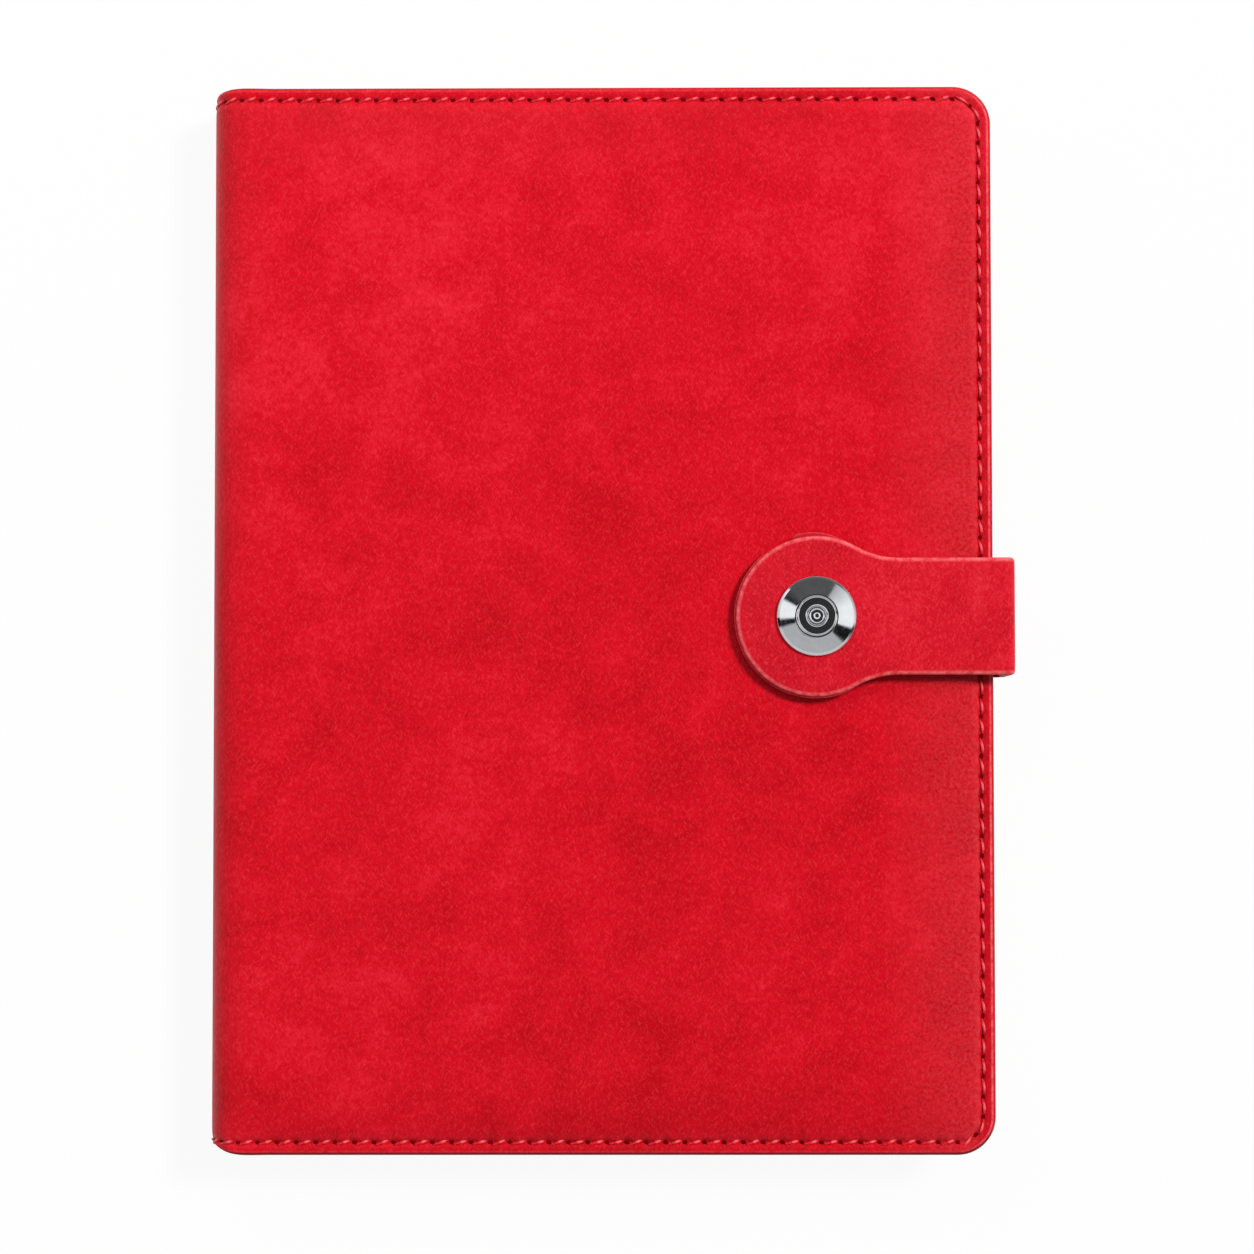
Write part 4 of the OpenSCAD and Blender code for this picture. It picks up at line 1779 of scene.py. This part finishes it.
    def tab_line(self, inset: float, last: float, face: bool) -> list[Pair]:
        """Lay out a row round the strap's head, from the tab's lower end and back to it.

        Args:
            inset: Distance of the row from the cut edge.
            last: Distance along the strap at which the row begins.
            face: Whether it is the outer layer, or else the lining, which peeks out.

        Returns:
            Pairs of the distance along the strap and across it.
        """
        fillet_y = self.half_w + self.neck_r
        fillet_x = math.sqrt((self.head_r + self.neck_r) ** 2 - fillet_y ** 2)
        flat, bend, _, _ = self.marks
        legs = zip((last, bend, flat), (bend, flat, fillet_x), self.leg_steps)
        straight = [u for first, end, count in legs for u in np.linspace(first, end, count)[:-1]]
        lean = math.atan2(fillet_x, fillet_y)
        head_from = math.pi / 2 - lean
        out = []
        for sign in (1, -1):
            half = [(u, self.half_w - inset) for u in straight]
            r = self.neck_r + inset
            for k in range(self.neck_steps):
                a = lean * k / self.neck_steps
                half.append((fillet_x - r * math.sin(a), fillet_y - r * math.cos(a)))
            for k in range(self.head_steps + 1):
                a = head_from + (math.pi - head_from) * k / self.head_steps
                spare = 0.0 if face else self.peek(math.degrees(a) * sign)
                r = self.head_r - inset + spare
                half.append((r * math.cos(a), r * math.sin(a)))
            out.append([(u, y * sign) for u, y in half])
        return out[0] + out[1][-2::-1]

    def band_line(self, inset: float, first: float, last: float) -> list[Pair]:
        """Lay out a row along both sides of the plain band below the tab.

        Args:
            inset: Distance of the row from the cut edge.
            first: Distance along the strap of its upper end.
            last: Distance along the strap of its lower end.

        Returns:
            Pairs of the distance along the strap and across it.
        """
        steps = np.linspace(last, first, self.band_steps)
        side = [(float(u), self.half_w - inset) for u in steps]
        return side + [(u, -y) for u, y in reversed(side)]

    def profile(self, face: bool) -> list[Pair]:
        """Give the rows of a layer, over its cut edge.

        Args:
            face: Whether it is the outer layer.

        Returns:
            Pairs of the inset and the height, from the upper side to the lower side.
        """
        t = self.layer
        if face:
            return [(6.0, t), (3.2, t), (1.6, t - 0.01), (1.25, t - 0.02), (1.0, t - 0.03),
                    (0.66, t - 0.07), (0.42, t - 0.14), (0.24, t - 0.25), (0.1, t - 0.40),
                    (0.0, t - 0.58), (0.02, 0.05), (0.3, 0.0), (6.0, 0.0)]
        return [(6.0, t), (1.2, t), (0.45, t - 0.02), (0.20, t - 0.05), (0.08, t - 0.12),
                (0.0, t - 0.3), (0.0, 0.2), (0.35, 0.02), (1.2, 0.0), (6.0, 0.0)]

    def marking(self, inset: float, shows: bool) -> Pair:
        """Say how a row of a layer is marked.

        Args:
            inset: Distance of the row from the cut edge.
            shows: Whether it is on the outer layer's upper side or its cut edge.

        Returns:
            How far it is darkened, and how far the pale cut edge and painted sheen show.
        """
        off_cut = eased(inset, 0.0, self.cut_in)
        if shows:
            # The face's pale band reaches in past its cut: painted sheen on the rounded top.
            kept = self.raw_cut + (1 - self.raw_cut) * off_cut
            return 0.0, eased(inset, *self.raw_sheen_fades) * kept
        return self.under_dark * off_cut, self.under_raw * eased(inset, *self.under_fades)

    def build_layer(self, name: str, face: bool, tab: bool, last: float) -> bpy.types.Object:
        """Make one layer of one half of the strap.

        Args:
            name: The piece's name.
            face: Whether it is the outer layer.
            tab: Whether it is the half with the head.
            last: Distance along the strap of its lower end.

        Returns:
            The piece.
        """
        rows = self.profile(face)
        base = 0.0 if face else -self.layer
        d = Draft()
        lines = []
        upper = (self.marks[1] + self.marks[2]) / 2
        for number, (inset, height) in enumerate(rows):
            if tab:
                line = self.tab_line(inset, upper, face)
            else:
                line = self.band_line(inset, upper - self.lap, last)
            dark, raw_and_sheen = self.marking(inset, face and number <= len(rows) // 2 + 2)
            row = []
            for u, y in line:
                off = self.ease(u, y) if tab else -self.lap_sink * (u < upper)
                place = self.place(u, y, base + height + off)
                row.append(d.add(place, (u, y, self.apart[face]), dark, raw_and_sheen))
            lines.append(row)
        for first, second in zip(lines, lines[1:]):
            d.strip(first, second)
        for line in (lines[0], lines[-1]):
            end = len(line) - 1
            for k in range(end // 2):
                corners = [line[k], line[k + 1], line[end - k - 1], line[end - k]]
                d.faces.append(list(dict.fromkeys(corners)))
        d.faces.append([line[0] for line in lines] + [line[-1] for line in reversed(lines)])
        if not tab:
            middle = len(lines[0]) // 2
            d.faces.append([line[middle - 1] for line in lines]
                           + [line[middle] for line in reversed(lines)])
        made = d.make(name, self.finishes.strap, self.crisp)
        return made

    def ease(self, u: float, y: float) -> float:
        """Let the leather of the tab lie a little uneven, and its head hang down to the cover.

        Args:
            u: Distance along the strap from the snap.
            y: Distance from the strap's middle line.

        Returns:
            How far the leather stands above its flat place.
        """
        past_snap = eased(math.hypot(u, y), self.flat_r, self.head_r)
        hang = self.droop * past_snap * eased(u, *self.hang_over)
        rough = self.uneven * eased(self.marks[0] - u, 0.0, self.even_out)
        spot = (u * self.uneven_scale, y * self.uneven_scale, self.uneven_seed)
        return rough * noise.noise(Vector(spot)) - hang

    def peek(self, angle: float) -> float:
        """Say how far the lower layer stands out beyond the upper one round the head.

        Args:
            angle: Angle round the head in degrees, from the strap's side.

        Returns:
            The distance in millimetres.
        """
        top = eased(angle, *self.top_on) * eased(angle, *self.top_off)
        turn = angle % 360
        left = eased(turn, *self.left_on) * eased(turn, *self.left_off)
        return self.peek_top * top + self.peek_left * left

    def build(self) -> list[bpy.types.Object]:
        """Build both layers in two halves that meet half-way up the fore-edge.

        Returns:
            The strap's pieces.
        """
        _, _, wrap, low = self.marks
        end = low + self.low_x - self.end_x
        lining_end = wrap + self.lining_past
        face_tab = self.build_layer("strap_tab_leather", True, True, 0)
        lining_tab = self.build_layer("strap_tab_backing", False, True, 0)
        face_wrap = self.build_layer("strap_wrap_leather", True, False, end)
        lining_wrap = self.build_layer("strap_wrap_backing", False, False, lining_end)
        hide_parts("strap_tab_face")
        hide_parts("strap_tab_lining")
        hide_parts("strap_wrap_face", "strap_anchor")
        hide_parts("strap_wrap_lining")
        x, z = self.high_c
        for piece in (face_tab, lining_tab):
            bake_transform(piece)
        for piece in (face_wrap, lining_wrap):
            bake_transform(piece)
        return [face_tab, lining_tab, face_wrap, lining_wrap]


@dataclass
class Snap:
    """The press snap: cap, rivet, socket and ring spring on the strap, stud and rivet on the cover.

    Attributes:
        finishes: The notebook's finishes.
        x: Place of the snap's axis.
        tab_top: Height of the strap's face.
        cover_top: Height of the cover's face.
        segments: Points round a turned part.
        crisp: Edges sharper than this stay crisp, in degrees.
        cap: Radii and heights of the dished cap with its boss, above the strap.
        rivet: The same for the rivet through the strap.
        socket: The same for the socket, above the cover.
        stud: The same for the stud.
    """

    finishes: Finishes
    x: float
    tab_top: float
    cover_top: float
    segments: int = 96
    crisp: float = 40.0
    cap: tuple[Pair, ...] = (
        (1.35, 0.0), (8.2, 0.0), (8.31, 0.06), (8.35, 0.16), (8.34, 0.42), (8.30, 0.54),
        (8.22, 0.64), (8.17, 0.68), (7.95, 0.832), (7.80, 0.935), (7.72, 0.99), (4.7, 0.46),
        (4.6, 0.44), (4.34, 0.41), (4.14, 0.45), (4.02, 0.6), (4.0, 0.8), (4.0, 1.92),
        (3.99, 2.02), (3.95, 2.11), (3.88, 2.17), (3.80, 2.2), (3.74, 2.2), (2.40, 2.2),
        (2.34, 2.2), (2.26, 2.17), (2.18, 2.11), (2.14, 2.08), (1.86, 1.84), (1.82, 1.78),
        (1.8, 1.58), (1.78, 1.35), (1.74, 1.3), (1.35, 1.3))
    rivet: tuple[Pair, ...] = (
        (0, -2.2), (1.98, -2.2), (2.0, -2.1), (1.9, -1.95), (1.3, -1.95), (1.3, 1.3),
        (1.66, 1.32), (1.7, 1.42), (1.68, 1.56), (1.58, 1.72), (1.46, 1.82), (1.32, 1.875),
        (1.24, 1.88), (0.74, 1.88), (0.68, 1.875), (0.6, 1.84), (0.5, 1.79), (0.42, 1.77),
        (0.34, 1.765), (0, 1.765))
    socket: tuple[Pair, ...] = (
        (1.4, 2.05), (5.55, 2.05), (5.6, 2.0), (5.6, 0.84), (5.5, 0.8), (3.2, 0.8), (3.1, 0.74),
        (3.1, 0.52), (3.2, 0.46), (5.6, 0.46), (5.86, 0.5), (6.0, 0.68), (6.0, 2.28), (5.9, 2.4),
        (1.4, 2.4))
    stud: tuple[Pair, ...] = (
        (0, 1.1), (1.3, 1.1), (1.3, 0.02), (4.5, 0.02), (4.6, 0.08), (4.58, 0.17), (4.3, 0.29),
        (2.55, 0.31), (2.38, 0.4), (2.35, 0.55), (2.36, 1.1), (2.5, 1.24), (2.7, 1.3),
        (2.79, 1.4), (2.78, 1.52), (2.66, 1.62), (2.2, 1.71), (1.2, 1.72), (0, 1.72))

    @classmethod
    def from_frame(cls, finishes: Finishes) -> "Snap":
        """Take the snap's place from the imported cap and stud."""
        cap_low, cap_high = box_mm("snap_cap")
        return cls(finishes, x=(cap_low.x + cap_high.x) / 2, tab_top=cap_low.z,
                   cover_top=box_mm("snap_stud")[0].z)

    def turn(self, name: str, profile: Sequence[Pair], base: float) -> bpy.types.Object:
        """Turn a closed profile round the snap's axis.

        Args:
            name: The piece's name.
            profile: Pairs of radius and height, with the axis left out or at radius 0.
            base: Height of the profile's zero.

        Returns:
            The piece.
        """
        d = Draft()
        rings: list[list[int]] = []
        angles = [2 * math.pi * k / self.segments for k in range(self.segments)]
        for r, h in profile:
            rings.append([d.add((self.x + r * math.cos(a), r * math.sin(a), base + h))
                          for a in (angles if r else angles[:1])])
        pairs = list(zip(rings, rings[1:]))
        if profile[0][0] > 0 or profile[-1][0] > 0:
            pairs.append((rings[-1], rings[0]))
        for first, second in pairs:
            if len(first) == 1 or len(second) == 1:
                tip, rim = (first[0], second) if len(first) == 1 else (second[0], first)
                d.faces += [[tip, rim[k], rim[(k + 1) % len(rim)]] for k in range(len(rim))]
            else:
                d.ring_strip(first, second)
        made = d.make(name, self.finishes.metal, self.crisp)
        return made

    def build(self) -> list[bpy.types.Object]:
        """Build every part of the snap.

        Returns:
            The snap's pieces.
        """
        cap = self.turn("snap_cap_dish", self.cap, self.tab_top)
        rivet = self.turn("snap_cap_rivet_head", self.rivet, self.tab_top)
        socket = self.turn("snap_socket_can", self.socket, self.cover_top)
        stud = self.turn("snap_stud_post", self.stud, self.cover_top)
        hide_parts("snap_cap")
        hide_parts("snap_cap_rivet")
        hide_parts("snap_socket")
        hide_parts("snap_stud")
        for piece in (cap, rivet, socket):
            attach(piece, "strap_tab")
        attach(stud, "front_cover")
        for node in ("snap_spring", "snap_stud_rivet"):
            dress(node, self.finishes.metal)
        return [cap, rivet, socket, stud]


@dataclass
class Insert:
    """The page block, its cards and its backing cloth.

    Attributes:
        finishes: The notebook's finishes.
        sections: Count of the sewn sections.
        soft_edge: Width of the cloth's softened edges.
        crisp: Edges sharper than this stay crisp, in degrees.
    """

    finishes: Finishes
    sections: int = 8
    soft_edge: float = 0.15
    crisp: float = 60.0

    def build(self) -> list[bpy.types.Object]:
        """Dress the sections and cards, and make the backing cloth.

        Returns:
            The new pieces.
        """
        for k in range(self.sections):
            dress(f"section_{k + 1}", self.finishes.paper)
        for node in ("front_card", "back_card"):
            dress(node, self.finishes.card)
        for node in ("front_board", "back_board"):
            dress(node, self.finishes.board)
        return [self.cloth("spine_cloth_back", "lower_pages"),
                self.cloth("spine_cloth_front", "upper_pages")]

    def cloth(self, node: str, body: str) -> bpy.types.Object:
        """Make a strip of backing cloth in place of its solid.

        Args:
            node: The strip's CAD node.
            body: The body that it moves with.

        Returns:
            The strip, with soft edges.
        """
        low, high = box_mm(node)
        d = Draft()
        for z in (low.z, high.z):
            for y in (low.y, high.y):
                for x in (low.x, high.x):
                    d.add((x, y, z))
        d.faces += [[0, 1, 3, 2], [4, 5, 7, 6], [0, 1, 5, 4], [2, 3, 7, 6], [0, 2, 6, 4],
                    [1, 3, 7, 5]]
        made = d.make(node + "_strip", self.finishes.cloth, self.crisp)
        soft = made.modifiers.new("soft_edges", "BEVEL")
        soft.width = self.soft_edge * MM
        soft.segments = 2
        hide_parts(node)
        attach(made, body)
        return made


def dress(node: str, material: bpy.types.Material) -> None:
    """Give a CAD node a finish.

    Args:
        node: The node's name.
        material: Its finish.
    """
    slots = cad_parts[node].data.materials
    slots.clear()
    slots.append(material)


class Card(Enum):
    """Tone of a card that stands in the room for the metal to mirror."""

    WHITE = 0.95
    PALE = 0.60
    GREY = 0.45
    SHADE = 0.09
    BLACK = 0.01


class RoomBench(Bench):
    """The world's node tree, with the same short calls."""

    def __init__(self, world: bpy.types.World) -> None:
        """Take the world's tree and its background."""
        self.tree = world.node_tree
        self.shader = self.tree.nodes["Background"]


@dataclass
class Studio:
    """Pale floor, soft light and the camera above the cover.

    Cards stand round the room at turns from 0 to 1, and each zone of the room
    begins at a height from 0, level, to 1, overhead. Only metal sees them.

    Attributes:
        eye: Place of the camera in millimetres.
        pitch: Turn of the camera about X, in radians.
        yaw: Turn of the camera about Y.
        roll: Turn of the camera about its own axis.
        focal_px: Focal length in pixels of the photograph's frame.
        frame_px: Width of that frame in pixels.
        sensor: Width of the camera's sensor in millimetres.
        nearest: Distance from which the camera sees, in millimetres.
        floor_half: Half the width of the floor in millimetres.
        floor_tone: Tone of the floor.
        floor_glow: Share of plain white in the floor that the camera sees.
        lamps: Name, place, size and power of each softbox.
        soft_light: Tone of the light from all round.
        skirting: Tone of the room's lowest zone.
        low_begin: Heights at which the low cards begin.
        low_cards: Turns and tones of the low cards.
        band: Tone of the bright band above them.
        band_begin: Heights at which it begins.
        high_begin: Heights at which the high cards begin.
        high_cards: Turns and tones of the high cards.
        overhead: Tone of the room overhead.
        overhead_begin: Heights at which that zone begins.
    """

    eye: Point = (9.3, -32.4, 720.0)
    pitch: float = 0.0434
    yaw: float = 0.0085
    roll: float = -0.0011
    focal_px: float = 3347.0
    frame_px: float = 1254.0
    sensor: float = 36.0
    nearest: float = 10.0
    floor_half: float = 2500.0
    floor_tone: float = 0.93
    floor_glow: float = 0.93
    lamps: tuple[tuple[str, Point, float, float], ...] = (
        ("key_softbox", (2112, 1268, 3152), 800, 122.0),
        ("left_softbox", (-1400, 500, 800), 700, 3.4),
        ("head_softbox", (-150, 400, 420), 360, 0.68))
    soft_light: float = 0.20
    skirting: float = 0.22
    low_begin: Pair = (0.15, 0.35)
    low_cards: tuple[tuple[float, Card], ...] = (
        (0.00, Card.BLACK), (0.035, Card.BLACK), (0.05, Card.PALE), (0.40, Card.PALE),
        (0.44, Card.BLACK), (0.46, Card.BLACK), (0.48, Card.WHITE), (0.60, Card.PALE),
        (0.64, Card.SHADE), (0.86, Card.SHADE), (0.87, Card.WHITE), (0.97, Card.PALE))
    band: float = 0.9
    band_begin: Pair = (0.46, 0.54)
    high_begin: Pair = (0.80, 0.86)
    high_cards: tuple[tuple[float, Card], ...] = (
        (0.03, Card.WHITE), (0.165, Card.GREY), (0.18, Card.SHADE), (0.40, Card.SHADE),
        (0.45, Card.BLACK), (0.46, Card.WHITE), (0.527, Card.WHITE), (0.535, Card.BLACK),
        (0.558, Card.BLACK), (0.565, Card.GREY), (0.838, Card.GREY), (0.848, Card.BLACK),
        (0.909, Card.BLACK), (0.92, Card.WHITE))
    overhead: float = 0.03
    overhead_begin: Pair = (0.975, 0.988)

    def build(self) -> None:
        """Set up everything round the notebook."""
        bpy.context.scene.view_settings.view_transform = "Standard"
        self.camera()
        self.floor()
        self.world()
        for lamp in self.lamps:
            self.lamp(*lamp)

    def camera(self) -> None:
        """Put the camera where the photograph was taken from."""
        data = bpy.data.cameras.new("camera")
        data.sensor_width = self.sensor
        data.lens = self.focal_px / self.frame_px * self.sensor
        data.clip_start = self.nearest * MM
        eye = put("camera", data)
        turn = (Matrix.Rotation(self.yaw, 4, "Y") @ Matrix.Rotation(self.pitch, 4, "X")
                @ Matrix.Rotation(self.roll, 4, "Z"))
        eye.matrix_world = Matrix.Translation(Vector(self.eye) * MM) @ turn
        bpy.context.scene.camera = eye

    def floor(self) -> None:
        """Lay a wide pale floor that keeps the notebook's shadow."""
        half = self.floor_half * MM
        mesh = bpy.data.meshes.new("floor")
        corners = [(-half, -half, 0), (half, -half, 0), (half, half, 0), (-half, half, 0)]
        mesh.from_pydata(corners, [], [(0, 1, 2, 3)])
        b = Bench("pale_floor")
        b.feed(b.shader, {"Base Color": (*(self.floor_tone,) * 3, 1.0), "Roughness": 0.9,
                          "Specular IOR Level": 0.1})
        glow = b.node("Emission", {"Color": (1, 1, 1, 1), "Strength": 1.0})
        path = b.node("LightPath")
        seen = b.maths("MAXIMUM", path.outputs["Is Camera Ray"], path.outputs["Is Glossy Ray"])
        mixed = b.node("MixShader", {0: b.maths("MULTIPLY", seen, self.floor_glow),
                                     1: b.shader.outputs[0], 2: glow.outputs[0]})
        b.tree.links.new(mixed.outputs[0], b.tree.nodes["Material Output"].inputs[0])
        mesh.materials.append(b.material)
        put("floor", mesh)

    def world(self) -> None:
        """Light the scene evenly; polished metal sees light and dark cards round the room."""
        world = bpy.data.worlds.new("studio")
        bpy.context.scene.world = world
        world.use_nodes = True
        b = RoomBench(world)
        way = b.node("SeparateXYZ", {0: b.node("TexCoord").outputs["Generated"]})
        x, y, up = way.outputs
        round_room = b.maths("MULTIPLY_ADD", b.maths("ARCTAN2", y, x), 0.5 / math.pi, 0.5)
        high, low = (b.ramp(round_room, *((turn, (card.value,) * 3) for turn, card in cards))
                     for cards in (self.high_cards, self.low_cards))
        room = (self.skirting,) * 3
        for begin, zone in ((self.low_begin, low), (self.band_begin, (self.band,) * 3),
                            (self.high_begin, high), (self.overhead_begin, (self.overhead,) * 3)):
            room = b.blend_colour(b.spread(up, *begin, 0.0, 1.0), room, zone)
        path = b.node("LightPath")
        tone = b.blend_colour(path.outputs["Is Glossy Ray"], (self.soft_light,) * 3, room)
        tone = b.blend_colour(path.outputs["Is Camera Ray"], tone, (1.0,) * 3)
        b.tree.links.new(tone, b.shader.inputs["Color"])

    def lamp(self, name: str, place: Point, size: float, power: float) -> None:
        """Hang a square softbox that faces the cover.

        Args:
            name: The lamp's name.
            place: Its place in millimetres.
            size: Length of its side in millimetres.
            power: Its power in watts.
        """
        data = bpy.data.lights.new(name, "AREA")
        data.size = size * MM
        data.energy = power
        lamp = put(name, data)
        lamp.location = Vector(place) * MM
        lamp.rotation_euler = (-Vector(place)).to_track_quat("-Z", "Y").to_euler()
        lamp.visible_glossy = False


def main() -> None:
    """Build the notebook piece by piece."""
    logging.basicConfig(level=logging.INFO, format="%(name)s: %(message)s")
    Studio().build()
    finishes = Finishes.make()
    sizes = CoverSizes.from_frame()
    seams = StitchLayer(finishes.thread, finishes.hole)
    pieces = [*Cover(Side.FRONT, sizes, finishes).build(seams),
              *Cover(Side.BACK, sizes, finishes).build(seams),
              *Strap.from_frame(finishes).build(), *Snap.from_frame(finishes).build(),
              *Insert(finishes).build()]
    for piece in pieces:
        LOG.info("%s: %d faces", piece.name, len(piece.data.polygons))
    bpy.context.view_layer.update()


if __name__ == "__main__":
    main()
